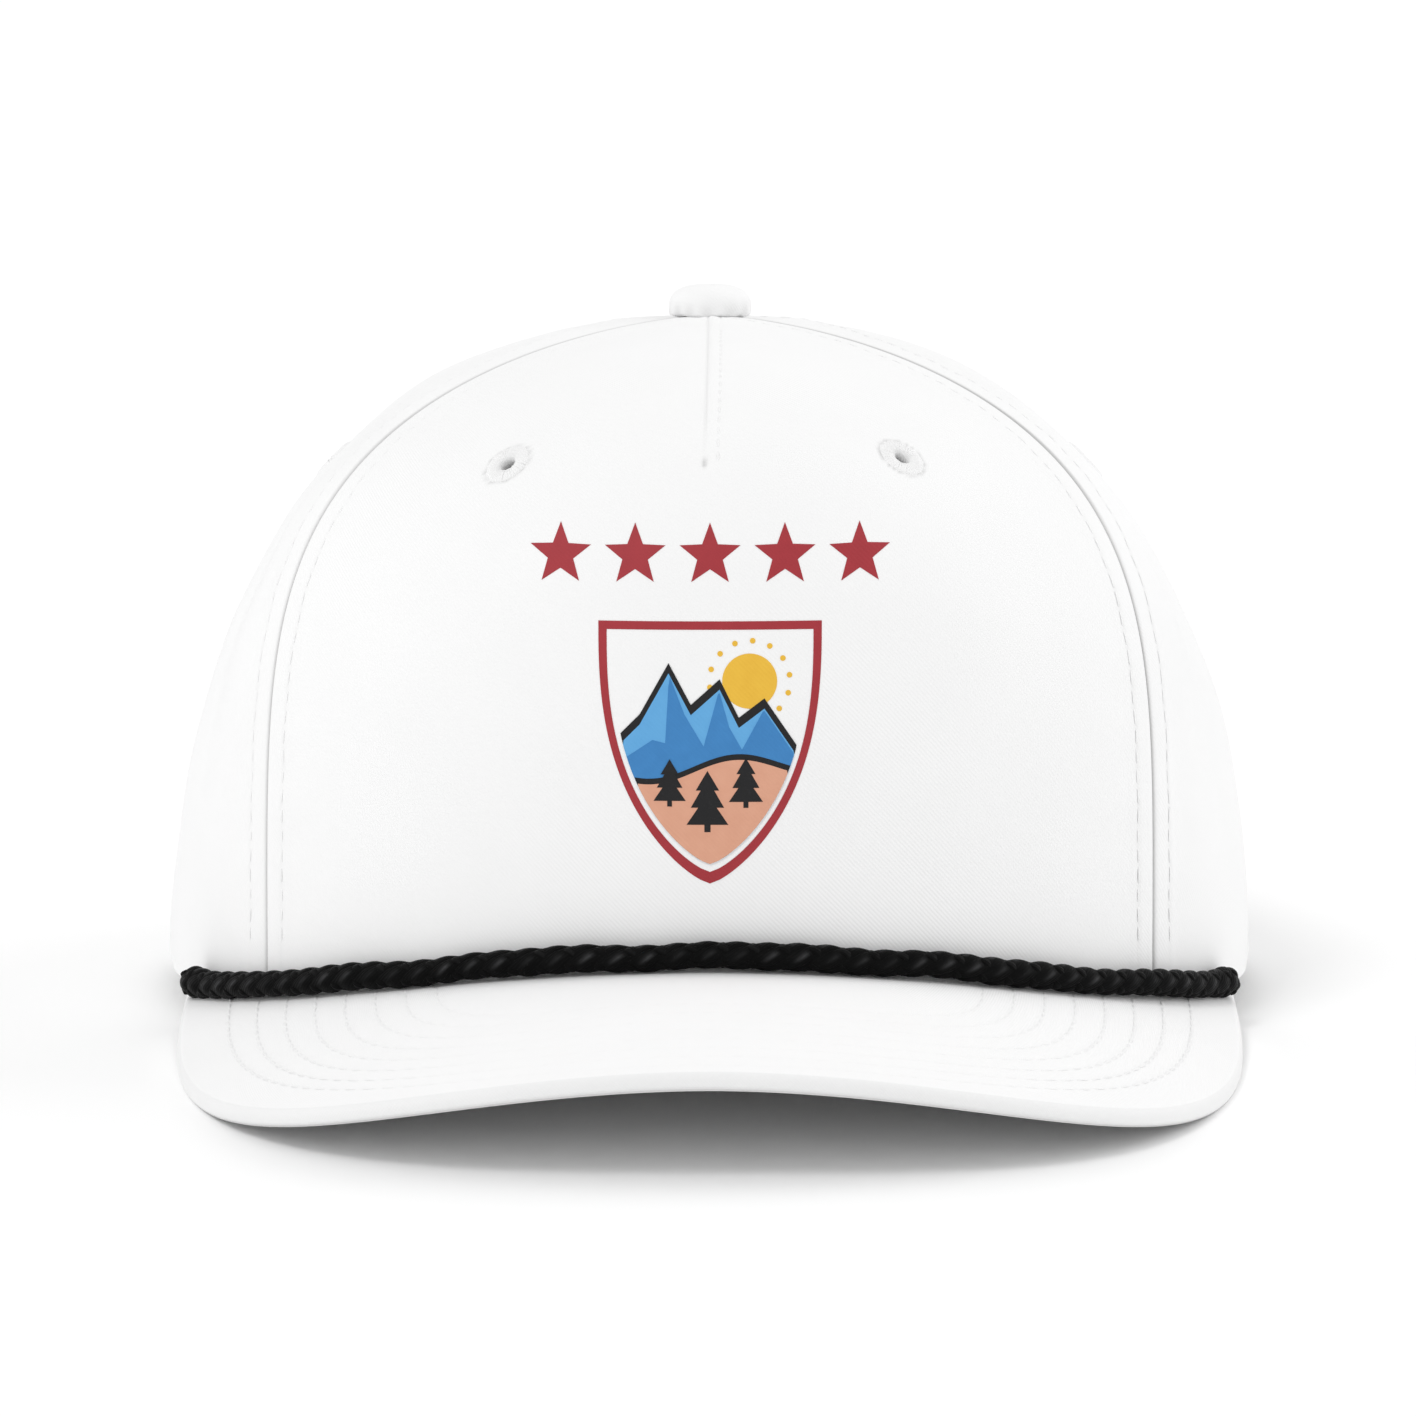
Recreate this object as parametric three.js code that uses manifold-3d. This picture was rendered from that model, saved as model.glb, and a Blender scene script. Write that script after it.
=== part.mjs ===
// A five-panel rope cap: a stiffened front panel, two side panels and two back panels that meet
// under a covered button, a curved visor, a braided rope over the visor seam, sewn eyelets, a
// sweatband, and a snap strap across the rear opening.
//
// Millimetres, +Z up, the front of the cap towards -Y. The cap is drawn with its rim plane level
// and the middle of that plane at 0. It is then tipped back until it stands on the visor's two
// sides and the rear hem, and moved so that the origin is at the bottom centre of its box.

import * as THREE from 'three';
import { mergeVertices } from 'three/addons/utils/BufferGeometryUtils.js';
import Module from 'manifold-3d';

const wasm = await Module();
wasm.setup();

// Crown
const crownHalfWidth = 90.5;
const crownHalfLength = 98;
const crownHeight = 107.4;
const wall = 2;
const gap = 0.3; // left between pieces that are sewn together
const frontSeam = 52.2; // degrees round from the front
const rearSeam = 116;
const buttonHole = 0.036; // share of the crown's width left open under the button

// The crown in an upright slice, at some angles round from the front in degrees. Each slice is the
// curve reach^reachPower + rise^risePower = 1, from the rim (reach 1) to the button (rise 1).
const slices = [
  { angle: 0, reachPower: 2.05, risePower: 5.6 },
  { angle: 52, reachPower: 1.75, risePower: 4.85 },
  { angle: 72, reachPower: 2.5, risePower: 2.5 },
  { angle: 95, reachPower: 1.65, risePower: 2.2 },
  { angle: 130, reachPower: 1.9, risePower: 2.2 },
  { angle: 180, reachPower: 2.0, risePower: 2.1 },
];

// Dart: a short fold sewn down the middle of the front panel from the button
const dartBottom = 86; // height of its lower end
const dartLead = 8; // from there up to its full depth
const dartDepth = 0.7;

// Columns of the front panel on each side of its middle, in degrees: close beside the dart, then even
const frontColumns = [0.8, 5, 10, 16, 22, 28, 34, 40, 46.5, frontSeam];

// Visor
const visorThickness = 3;
const visorLength = 71; // in front of the crown
const visorHalfWidth = 86;
const visorBack = 61; // its corners lie this far behind the crown's front
const visorSquareness = 2.77; // 2 would be an ellipse
const visorHeight = 7.5; // middle of the board at the crown's front, above the rim plane
const visorSlope = 5.6; // degrees, down to the front
const visorBend = 195; // radius from side to side at the crown
const visorBendChange = -0.34; // added to that radius for each millimetre forward
const visorEnd = 67; // degrees round from the front where the visor leaves the crown
const hemLevel = 107; // degrees round from the front where the hem is back in the rim plane
const visorEdgeRound = 0.9;
const visorEdgeLimit = 0.2; // of the board's width, where its corners are narrow

// Rope
const ropeRadius = 2.2;
const ropeEnd = 66;
const ropeLift = 0.25; // the braid rests on the visor's cross bend, a little above its middle

// Rear opening and snap strap
const openingWidth = 84;
const openingHeight = 47;
const strapThickness = 1.4;
const strapHeight = 19;
const strapLift = 3;
const strapTuck = 6; // degrees of each end that lie inside the panels
const strapLap = { from: 162, to: 199, proud: 1.2, margin: 1.2 }; // the end that lies on top

// Sweatband
const bandThickness = 1.5;
const bandInset = 2.6; // from the crown's outside
const bandHeight = 32;
const bandHang = 2.3; // how far it hangs below the crown's edge over the visor
const bandClear = 0.8; // how far it stays above the hem at the back
const bandShort = 0.5; // degrees that each end stops short of the rear opening
const bandStep = { before: 5.5, over: 4 }; // degrees in which it steps inwards over the strap's ends

// Button
const buttonRadius = 6.9;
const buttonHeight = 5;
const buttonSquareness = 2.6;
const buttonFoot = { height: 1, inset: 0.5 }; // upright edge under the dome, and its narrower base
const shankRadius = 2.4;
const plateRadius = 5;
const plateThickness = 1;

// Eyelets: where each is, in degrees round from the front and in height over the rim plane
const eyeletPlaces = [
  { name: 'left_front_eyelet', panel: 'front', angle: -25.8, height: 87.0 },
  { name: 'right_front_eyelet', panel: 'front', angle: 24.6, height: 87.9 },
  { name: 'left_side_eyelet', panel: 'left_side', angle: -78, height: 84.3 },
  { name: 'right_side_eyelet', panel: 'right_side', angle: 78, height: 84.3 },
  { name: 'left_back_eyelet', panel: 'left_back', angle: -148, height: 82 },
  { name: 'right_back_eyelet', panel: 'right_back', angle: 148, height: 82 },
];
const eyeletRadius = 4.35;
const eyeletBore = 1.1;
const eyeletBarrel = 1.9;
const eyeletHole = 2.3;
const eyeletFoot = 0.25; // of the ring over the cloth
const eyeletRise = 0.75; // of the ring over its foot
const eyeletTail = 0.4; // how far the barrel stands out of the cloth inside
const eyeletSides = 14;

// How much cloth the cap's own weight presses flat where it stands
const pressed = 0.6;

// Blocks that cut the solids, larger than what they cut
const floorSize = { width: 400, length: 600, depth: 40 };
const openingCut = { bottom: -20, back: 130, depth: 80 };
const drillLength = 12;

const white = { color: '#f6f6f4', roughness: 0.9, metalness: 0 };
const finishes = {
  twill: new THREE.MeshStandardMaterial(white),
  thread: new THREE.MeshStandardMaterial({ ...white, color: '#efefec', roughness: 0.75 }),
  rope: new THREE.MeshStandardMaterial({ color: '#1d1d1f', roughness: 0.6, metalness: 0 }),
  band: new THREE.MeshStandardMaterial({ ...white, color: '#f1f1ee' }),
  plastic: new THREE.MeshStandardMaterial({ ...white, color: '#f2f2f0', roughness: 0.4 }),
};

const { degToRad, lerp, radToDeg, smoothstep } = THREE.MathUtils;

// Degrees from the middle of the back to each side of the rear opening
const openingReach = radToDeg(Math.asin(openingWidth / 2 / crownHalfWidth));

// How far the hem has come back from the visor's line to the rim plane, 0 to 1.
function levelShare(angle) {
  return smoothstep(Math.abs(angle), visorEnd, hemLevel);
}

// Height of the middle of the visor's board: sloped to the front, bent down to both sides.
function visorMiddle(x, y) {
  const forward = -(y + crownHalfLength);
  const radius = visorBend + visorBendChange * forward;
  return visorHeight - Math.tan(degToRad(visorSlope)) * forward - (x * x) / (2 * radius);
}

// Height of the crown's lower edge at a point near the rim.
function hemHeight(angle, x, y) {
  return (visorMiddle(x, y) + visorThickness / 2 + gap) * (1 - levelShare(angle));
}

// The slice powers at any angle, eased between the rows of the table.
function sliceAt(angle) {
  const turned = Math.min(Math.abs(angle), 360 - Math.abs(angle));
  const next = slices.findIndex((slice) => slice.angle > turned);
  const [a, b] = next < 0 ? [slices.at(-1), slices.at(-1)] : [slices[next - 1], slices[next]];
  const share = next < 0 ? 0 : (turned - a.angle) / (b.angle - a.angle);
  const eased = (1 - Math.cos(Math.PI * share)) / 2;
  return {
    reachPower: lerp(a.reachPower, b.reachPower, eased),
    risePower: lerp(a.risePower, b.risePower, eased),
  };
}

// The rim's own point and the height that the slice starts from.
function rimPoint(angle) {
  const x = crownHalfWidth * Math.sin(degToRad(angle));
  const y = -crownHalfLength * Math.cos(degToRad(angle));
  return new THREE.Vector3(x, y, visorMiddle(x, y) * (1 - levelShare(angle)));
}

// A point on the crown's outside, rise 0 at the rim and 1 at the button.
function crownPoint(angle, rise) {
  const slice = sliceAt(angle);
  const rim = rimPoint(angle);
  const reach = (1 - rise ** slice.risePower) ** (1 / slice.reachPower);
  return new THREE.Vector3(rim.x * reach, rim.y * reach, lerp(rim.z, crownHeight, rise));
}

// The crown's outward normal, from short steps both ways over its surface.
function crownNormal(angle, rise) {
  const turn = 0.05;
  const step = 1e-4;
  const across = crownPoint(angle + turn, rise).sub(crownPoint(angle - turn, rise));
  const low = crownPoint(angle, Math.max(rise - step, 0));
  const up = crownPoint(angle, Math.min(rise + step, 1)).sub(low);
  return across.cross(up).normalize();
}

// The same point moved inwards through the cloth.
function crownInside(angle, rise, inset) {
  return crownPoint(angle, rise).addScaledVector(crownNormal(angle, rise), -inset);
}

// The rise at a given height over the rim plane.
function riseAt(angle, height) {
  const base = rimPoint(angle).z;
  return Math.max((height - base) / (crownHeight - base), 0);
}

// The rise at the edge of the hole under the button.
function riseAtHole(angle) {
  const slice = sliceAt(angle);
  return (1 - buttonHole ** slice.reachPower) ** (1 / slice.risePower);
}

// A closed sheet between two grids of points, each grid[row][column]. Seen from outside, the
// outer grid's columns run to the right and its rows run upwards.
function sheet(outer, inner) {
  const rows = outer.length - 1;
  const columns = outer[0].length - 1;
  const positions = [...outer.flat(), ...inner.flat()].flatMap((p) => [p.x, p.y, p.z]);
  const count = (rows + 1) * (columns + 1);
  const out = (i, j) => i * (columns + 1) + j;
  const back = (i, j) => count + out(i, j);
  const faces = [];
  const quad = (a, b, c, d) => faces.push(a, b, c, a, c, d);
  for (let i = 0; i < rows; i++) {
    for (let j = 0; j < columns; j++) {
      quad(out(i, j), out(i, j + 1), out(i + 1, j + 1), out(i + 1, j));
      quad(back(i, j), back(i + 1, j), back(i + 1, j + 1), back(i, j + 1));
    }
    quad(out(i, 0), out(i + 1, 0), back(i + 1, 0), back(i, 0));
    quad(out(i, columns), back(i, columns), back(i + 1, columns), out(i + 1, columns));
  }
  for (let j = 0; j < columns; j++) {
    quad(out(0, j), back(0, j), back(0, j + 1), out(0, j + 1));
    quad(out(rows, j), out(rows, j + 1), back(rows, j + 1), back(rows, j));
  }
  const geometry = new THREE.BufferGeometry();
  geometry.setAttribute('position', new THREE.Float32BufferAttribute(positions, 3));
  geometry.setIndex(faces);
  return geometry;
}

// A three.js geometry as a solid for cutting and joining.
function solid(geometry) {
  const bare = geometry.clone();
  bare.deleteAttribute('normal');
  bare.deleteAttribute('uv');
  const merged = mergeVertices(bare, 1e-4);
  return new wasm.Manifold(new wasm.Mesh({
    numProp: 3,
    vertProperties: merged.attributes.position.array,
    triVerts: new Uint32Array(merged.index.array),
  }));
}

// The solid back as a three.js geometry.
function geometryOf(cut) {
  const mesh = cut.getMesh();
  const geometry = new THREE.BufferGeometry();
  geometry.setAttribute('position', new THREE.BufferAttribute(mesh.vertProperties, 3));
  geometry.setIndex(new THREE.BufferAttribute(mesh.triVerts, 1));
  return geometry;
}

// A list of evenly spaced values with both ends.
function steps(from, to, count) {
  return Array.from({ length: count + 1 }, (_, i) => lerp(from, to, i / count));
}

// The visor's outer edge in plan, side -1 at its left corner to 1 at its right corner.
function visorOutline(side) {
  const turn = (1 - Math.abs(side)) * Math.PI / 2;
  const power = 2 / visorSquareness;
  const x = Math.sign(side) * visorHalfWidth * Math.cos(turn) ** power;
  const forward = (visorLength + visorBack) * Math.sin(turn) ** power - visorBack;
  return new THREE.Vector2(x, -(crownHalfLength + forward));
}

// How the cap stands: the line from the rear hem's corners to the lowest side of the visor.
const rearContact = crownHalfLength * Math.cos(degToRad(openingReach));
const restPitch = Math.max(...steps(0, 1, 200).map((side) => {
  const edge = visorOutline(side);
  const underside = visorMiddle(edge.x, edge.y) - visorThickness / 2;
  return Math.atan2(-underside, rearContact - edge.y);
}));

// The floor, as a block that cuts off what the cap's weight presses flat.
function floorBlock() {
  const { width, length, depth } = floorSize;
  const block = new THREE.BoxGeometry(width, length, depth);
  block.translate(0, 0, pressed - depth / 2);
  block.rotateX(restPitch);
  block.translate(0, rearContact, 0);
  return solid(block);
}
const floor = floorBlock();

// The round-topped opening over the snap strap, as a block through both back panels.
function openingBlock() {
  const half = openingWidth / 2;
  const spring = openingHeight - half;
  const { bottom, back, depth } = openingCut;
  const arch = new THREE.Shape();
  arch.moveTo(-half, bottom);
  arch.lineTo(half, bottom);
  arch.lineTo(half, spring);
  arch.absarc(0, spring, half, 0, Math.PI, false);
  arch.closePath();
  const block = new THREE.ExtrudeGeometry(arch, { depth, bevelEnabled: false, curveSegments: 14 });
  block.rotateX(Math.PI / 2); // the outline stands up, and its depth runs to -Y
  block.translate(0, back, 0);
  return solid(block);
}

// The place and direction of one eyelet.
function eyeletSeat({ angle, height }) {
  const rise = riseAt(angle, height);
  const normal = crownNormal(angle, rise);
  const turn = new THREE.Quaternion().setFromUnitVectors(new THREE.Vector3(0, 0, 1), normal);
  return { position: crownPoint(angle, rise), turn };
}

// The hole that an eyelet goes through, as a block to cut with.
function eyeletHoleBlock(place) {
  const { position, turn } = eyeletSeat(place);
  const drill = new THREE.CylinderGeometry(eyeletHole, eyeletHole, drillLength, eyeletSides);
  drill.rotateX(Math.PI / 2);
  drill.applyQuaternion(turn);
  drill.translate(position.x, position.y, position.z);
  return solid(drill);
}

// One cloth panel between two seams. Its edges stop half a gap short of the seams, and its lower
// edge follows the visor's top at the front and the rim plane behind.
function panel(angles, rows, sink = () => 0) {
  const last = angles.length - 1;
  const seamShift = angles.map((angle, j) => {
    const rim = rimPoint(angle);
    const along = new THREE.Vector3(-rim.y, rim.x, 0).normalize();
    return along.multiplyScalar(j === 0 ? gap / 2 : j === last ? -gap / 2 : 0);
  });
  const edge = angles.map((angle) => {
    const rim = rimPoint(angle);
    return hemHeight(angle, rim.x, rim.y);
  });
  const grid = (depth) => steps(0, 1, rows).map((share, i) => angles.map((angle, j) => {
    const power = sliceAt(angle).risePower / 2;
    const lowTurn = Math.asin(riseAt(angle, edge[j]) ** power);
    const highTurn = Math.asin(riseAtHole(angle) ** power);
    const rise = Math.sin(lerp(lowTurn, highTurn, share)) ** (1 / power);
    const sunk = depth + (depth === 0 ? sink(angle, rise) : 0);
    const point = crownInside(angle, rise, sunk).add(seamShift[j]);
    if (i === 0) point.z = hemHeight(angle, point.x, point.y);
    return point;
  }));
  return solid(sheet(grid(0), grid(wall)));
}

// The dart's groove, on the one column of points down the middle of the front panel.
function dartSink(angle, rise) {
  const height = rise * crownHeight;
  const inMiddle = Math.abs(angle) < frontColumns[0] / 2;
  return inMiddle ? dartDepth * smoothstep(height, dartBottom, dartBottom + dartLead) : 0;
}

function frontPanel() {
  const angles = [...frontColumns.map((angle) => -angle).reverse(), 0, ...frontColumns];
  return panel(angles, 18, dartSink);
}

function visorBoard() {
  const half = visorThickness / 2;
  const sides = steps(-1, 1, 36);
  const shares = [0, 0, ...steps(0.06, 1, 7)]; // from the edge to the crown, the first two at the edge
  const grid = (up) => shares.map((share, i) => sides.map((side) => {
    const outer = visorOutline(side);
    const angle = degToRad(side * visorEnd);
    const inner = new THREE.Vector2(
      (crownHalfWidth - wall) * Math.sin(angle),
      -(crownHalfLength - wall) * Math.cos(angle),
    );
    const width = outer.distanceTo(inner);
    const round = Math.min(visorEdgeRound, width * visorEdgeLimit);
    const inset = i === 0 ? 0 : i === 1 ? round / width : Math.max(share, 2 * round / width);
    const p = outer.lerp(inner, inset);
    const thick = i === 0 ? half - visorEdgeRound : half;
    return new THREE.Vector3(p.x, p.y, visorMiddle(p.x, p.y) + up * thick);
  }));
  return solid(sheet(grid(1), grid(-1)));
}

// A strip inside the crown between two angles. Its inset and its lower edge may change along it.
function strip({ from, to, columns, rows, bottom, height, inset, thickness }) {
  const angles = steps(from, to, columns);
  const grid = (depth) => steps(0, 1, rows).map((share) => angles.map((angle) => {
    const low = bottom(angle);
    return crownInside(angle, riseAt(angle, low + height * share), inset(angle) + depth);
  }));
  return solid(sheet(grid(0), grid(thickness)));
}

// The sweatband runs round the front from one side of the rear opening to the other, and its two
// ends lie over the ends of the snap strap.
function sweatband() {
  const end = 180 - openingReach - bandShort;
  const tuckStart = end - strapTuck - bandStep.before;
  return strip({
    from: -end,
    to: end,
    columns: 64,
    rows: 3,
    bottom: (angle) => {
      const rim = rimPoint(angle);
      const over = 1 - levelShare(angle);
      return hemHeight(angle, rim.x, rim.y) + bandClear - (bandClear + bandHang) * over;
    },
    height: bandHeight,
    inset: (angle) => bandInset
      + (strapThickness + gap) * smoothstep(Math.abs(angle), tuckStart, tuckStart + bandStep.over),
    thickness: bandThickness,
  });
}

// The snap strap, fastened: its two ends lapped over each other at the back.
function snapStrap() {
  const base = strip({
    from: 180 - openingReach - strapTuck,
    to: 180 + openingReach + strapTuck,
    columns: 24,
    rows: 2,
    bottom: () => strapLift,
    height: strapHeight,
    inset: () => wall + gap,
    thickness: strapThickness,
  });
  const lap = strip({
    from: strapLap.from,
    to: strapLap.to,
    columns: 12,
    rows: 2,
    bottom: () => strapLift + strapLap.margin,
    height: strapHeight - 2 * strapLap.margin,
    inset: () => wall + gap - strapLap.proud,
    thickness: strapLap.proud + strapThickness / 2,
  });
  return base.add(lap);
}

// The rope lies in the corner between the crown and the visor's top.
function rope() {
  const reach = ropeRadius + gap;
  const route = steps(-ropeEnd, ropeEnd, 30).map((angle) => {
    const x = (crownHalfWidth + reach) * Math.sin(degToRad(angle));
    const y = -(crownHalfLength + reach) * Math.cos(degToRad(angle));
    return new THREE.Vector3(x, y, visorMiddle(x, y) + visorThickness / 2 + reach + ropeLift);
  });
  const section = new THREE.Shape().absarc(0, 0, ropeRadius, 0, 2 * Math.PI, false);
  return new THREE.ExtrudeGeometry(section, {
    extrudePath: new THREE.CatmullRomCurve3(route),
    steps: 40,
    curveSegments: 5,
    bevelEnabled: false,
  });
}

// A lathed profile of [radius, height] pairs that turns about +Z.
function lathed(profile, segments) {
  const points = profile.map(([radius, height]) => new THREE.Vector2(radius, height));
  return new THREE.LatheGeometry(points, segments).rotateX(Math.PI / 2);
}

// The covered button, with the shank through the crown and the plate that holds it inside.
function button() {
  const under = -(wall + 2 * gap);
  const edge = gap + buttonFoot.height;
  const power = 2 / buttonSquareness;
  const dome = steps(0, Math.PI / 2, 8).map((turn) => [
    buttonRadius * Math.cos(turn) ** power,
    edge + (buttonHeight - buttonFoot.height) * Math.sin(turn) ** power,
  ]);
  dome[dome.length - 1][0] = 0;
  return lathed([
    [0, under - plateThickness],
    [plateRadius, under - plateThickness],
    [plateRadius, under],
    [shankRadius, under],
    [shankRadius, gap],
    [buttonRadius - buttonFoot.inset, gap],
    ...dome,
  ], 24);
}

// A sewn eyelet: a low ring of thread with a short barrel through the cloth.
function eyelet() {
  const inside = -wall - eyeletTail;
  const foot = eyeletFoot;
  return lathed([
    [eyeletBore, inside],
    [eyeletBarrel, inside],
    [eyeletBarrel, foot],
    [eyeletRadius, foot],
    [eyeletRadius - 0.2, foot + 0.6 * eyeletRise],
    [(eyeletRadius + eyeletBore) / 2, foot + eyeletRise],
    [eyeletBore + 0.3, foot + 0.67 * eyeletRise],
    [eyeletBore, foot],
    [eyeletBore, inside],
  ], eyeletSides);
}

const cap = new THREE.Group();

function add(name, geometry, finish) {
  geometry.deleteAttribute('normal');
  geometry.computeVertexNormals();
  const mesh = new THREE.Mesh(geometry, finish.clone());
  mesh.name = name;
  cap.add(mesh);
  return mesh;
}

function addPanel(name, cloth, cuts = []) {
  const holes = eyeletPlaces.filter((place) => place.panel === name).map(eyeletHoleBlock);
  const cut = [...holes, ...cuts, floor].reduce((rest, block) => rest.subtract(block), cloth);
  add(`${name}_panel`, geometryOf(cut), finishes.twill);
}

const opening = openingBlock();
addPanel('front', frontPanel());
for (const [side, sign] of [['left', -1], ['right', 1]]) {
  const turned = (from, to, columns) => steps(from * sign, to * sign, columns).sort((a, b) => a - b);
  addPanel(`${side}_side`, panel(turned(frontSeam, rearSeam, 10), 16));
  addPanel(`${side}_back`, panel(turned(rearSeam, 180, 12), 16), [opening]);
}

add('visor', geometryOf(visorBoard().subtract(floor)), finishes.twill);
add('rope', rope(), finishes.rope);
add('sweatband', geometryOf(sweatband()), finishes.band);
add('snap_strap', geometryOf(snapStrap()), finishes.plastic);
add('top_button', button(), finishes.twill).position.z = crownHeight;

for (const place of eyeletPlaces) {
  const seat = eyeletSeat(place);
  const ring = add(place.name, eyelet(), finishes.thread);
  ring.position.copy(seat.position);
  ring.quaternion.copy(seat.turn);
}

// Tip the cap back onto its visor and move the origin to the bottom centre of its box.
cap.rotation.x = -restPitch;
const group = new THREE.Group();
group.add(cap);
group.updateMatrixWorld(true);
const box = new THREE.Box3().setFromObject(group, true);
cap.position.set(-(box.min.x + box.max.x) / 2, -(box.min.y + box.max.y) / 2, -box.min.z);
group.updateMatrixWorld(true);

export default group;
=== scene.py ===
# A white five-panel rope cap: sewn cotton panels, a curved visor with eight rows of stitching, a black
# braid over the visor seam, sewn eyelets, a covered button, a sweatband and a snap strap at the back.
# Shapes are worked out in millimetres with the cap's rim level and its front towards -Y, then tipped
# back onto the visor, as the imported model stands.

import math

import bpy
import numpy as np
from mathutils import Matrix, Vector
from mathutils.geometry import delaunay_2d_cdt


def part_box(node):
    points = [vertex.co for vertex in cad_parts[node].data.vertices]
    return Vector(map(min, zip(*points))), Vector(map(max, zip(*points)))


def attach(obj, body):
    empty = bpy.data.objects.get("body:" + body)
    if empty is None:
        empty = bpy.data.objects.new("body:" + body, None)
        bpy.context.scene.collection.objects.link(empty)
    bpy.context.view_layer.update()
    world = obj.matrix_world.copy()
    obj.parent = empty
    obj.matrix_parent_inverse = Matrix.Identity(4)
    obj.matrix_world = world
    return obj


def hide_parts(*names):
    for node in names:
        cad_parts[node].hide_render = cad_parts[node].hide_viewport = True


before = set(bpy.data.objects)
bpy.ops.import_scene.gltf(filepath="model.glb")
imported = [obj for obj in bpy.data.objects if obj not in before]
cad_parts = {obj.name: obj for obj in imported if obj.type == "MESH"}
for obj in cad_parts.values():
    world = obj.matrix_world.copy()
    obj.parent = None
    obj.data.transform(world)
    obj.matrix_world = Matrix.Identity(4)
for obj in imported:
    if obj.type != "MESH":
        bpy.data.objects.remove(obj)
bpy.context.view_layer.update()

mm = 0.001

crown = {
    "halfWidth": 90.5,
    "halfLength": 98,
    "height": 107.4,
    "wall": 2,
    "gap": 0.3,
    "frontSeam": 52.2,  # degrees round from the front
    "rearSeam": 116,
    "buttonHole": 0.036,  # share of the width left open under the button
    # degrees round from the front, then the powers of the upright slice there
    "slices": [
        (0, 2.05, 5.6),
        (52, 1.75, 4.85),
        (72, 2.5, 2.5),
        (95, 1.65, 2.2),
        (130, 1.9, 2.2),
        (180, 2.0, 2.1),
    ],
    "pressed": 0.6,  # cloth that the cap's weight flattens
}

visor = {
    "thickness": 3,
    "length": 71,
    "halfWidth": 86,
    "back": 61,
    "squareness": 2.77,
    "height": 7.5,
    "slope": math.radians(5.6),
    "bend": 195,
    "bendChange": -0.34,
    "end": 67,
    "hemLevel": 107,
}

opening = {
    "halfWidth": 42,
    "height": 47,
    "squareness": 2.2,
    "reach": 27.65,  # degrees from the middle of the back to each side of it, at the hem
}


# Goes from 0 to 1 between low and high, with both ends eased.
def eased(value, low, high):
    share = np.clip((value - low) / (high - low), 0, 1)
    return share * share * (3 - 2 * share)


# From a at share 0 to b at share 1, in a straight line.
def mixed(a, b, share):
    return a + (b - a) * share


# A bump of height 1 at the middle that falls off like a bell.
def bell(distance, width):
    return np.exp(-((distance / width) ** 2))


# Shares from 0 to 1 that lie closer together at both ends.
def closerAtEnds(count, pull):
    share = np.linspace(0, 1, count + 1)
    return share - pull * np.sin(2 * np.pi * share) / (2 * np.pi)


# Each vector divided by its length.
def unit(vectors):
    return vectors / np.maximum(np.linalg.norm(vectors, axis=-1, keepdims=True), 1e-12)


# How far each point of a line lies along it.
def lengthAlong(line):
    return np.concatenate([[0], np.cumsum(np.linalg.norm(np.diff(line, axis=0), axis=-1))])


# Each column of a table at other places than the known ones.
def tableAt(places, known, table):
    return np.stack([np.interp(places, known, column) for column in table.T], -1)


# Distance outside a squared ellipse, from the level and the slope there. Across and up are shares of
# its half width and its height.
def outsideEllipse(across, up, wide, high, power):
    level = np.maximum((across**power + up**power) ** (1 / power), 1e-3)
    slope = np.hypot(across ** (power - 1) / wide, up ** (power - 1) / high)
    return (level - 1) / np.maximum(slope * level ** (1 - power), 1e-4)


# How far the hem has come back from the visor's line to the rim plane.
def levelShare(angle):
    return eased(np.abs(angle), visor["end"], visor["hemLevel"])


# The middle of the visor's board: it slopes down to the front and bends down to both sides.
def visorMiddle(x, y):
    forward = -(y + crown["halfLength"])
    radius = visor["bend"] + visor["bendChange"] * forward
    return visor["height"] - math.tan(visor["slope"]) * forward - x * x / (2 * radius)


# The crown's lower edge, on the visor in front and level behind.
def hemHeight(angle, x, y):
    return (visorMiddle(x, y) + visor["thickness"] / 2 + crown["gap"]) * (1 - levelShare(angle))


# The powers of the upright slice at each angle, eased between the rows of the table.
def slicePowers(angle):
    turned = np.abs((np.asarray(angle, float) + 180) % 360 - 180)
    table = np.array(crown["slices"], float)
    row = np.clip(np.searchsorted(table[:, 0], turned, side="right") - 1, 0, len(table) - 2)
    share = (turned - table[row, 0]) / (table[row + 1, 0] - table[row, 0])
    share = (1 - np.cos(np.pi * share)) / 2
    return [mixed(table[row, k], table[row + 1, k], share) for k in (1, 2)]


# The crown's rim: an ellipse in plan, on the visor's middle in front and level behind.
def rimPoint(angle):
    turn = np.radians(angle)
    x = crown["halfWidth"] * np.sin(turn)
    y = -crown["halfLength"] * np.cos(turn)
    return x, y, visorMiddle(x, y) * (1 - levelShare(angle))


# The crown's outside: reach^reachPower + rise^risePower = 1 in each upright slice, with rise 0 at
# the rim and 1 under the button.
def crownPoint(angle, rise):
    angle, rise = np.broadcast_arrays(np.asarray(angle, float), np.asarray(rise, float))
    reachPower, risePower = slicePowers(angle)
    x, y, base = rimPoint(angle)
    reach = (1 - rise**risePower) ** (1 / reachPower)
    return np.stack([x * reach, y * reach, mixed(base, crown["height"], rise)], -1)


# The way out of the crown, across a short step both ways.
def crownNormal(angle, rise):
    turn, step = 0.05, 1e-4
    across = crownPoint(angle + turn, rise) - crownPoint(angle - turn, rise)
    upper = crownPoint(angle, np.minimum(rise + step, 1))
    return unit(np.cross(across, upper - crownPoint(angle, np.maximum(rise - step, 0))))


# The rise at a height: its share of the way from the rim to the crown's top.
def riseAt(angle, height):
    base = rimPoint(angle)[2]
    return np.maximum((height - base) / (crown["height"] - base), 0)


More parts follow.
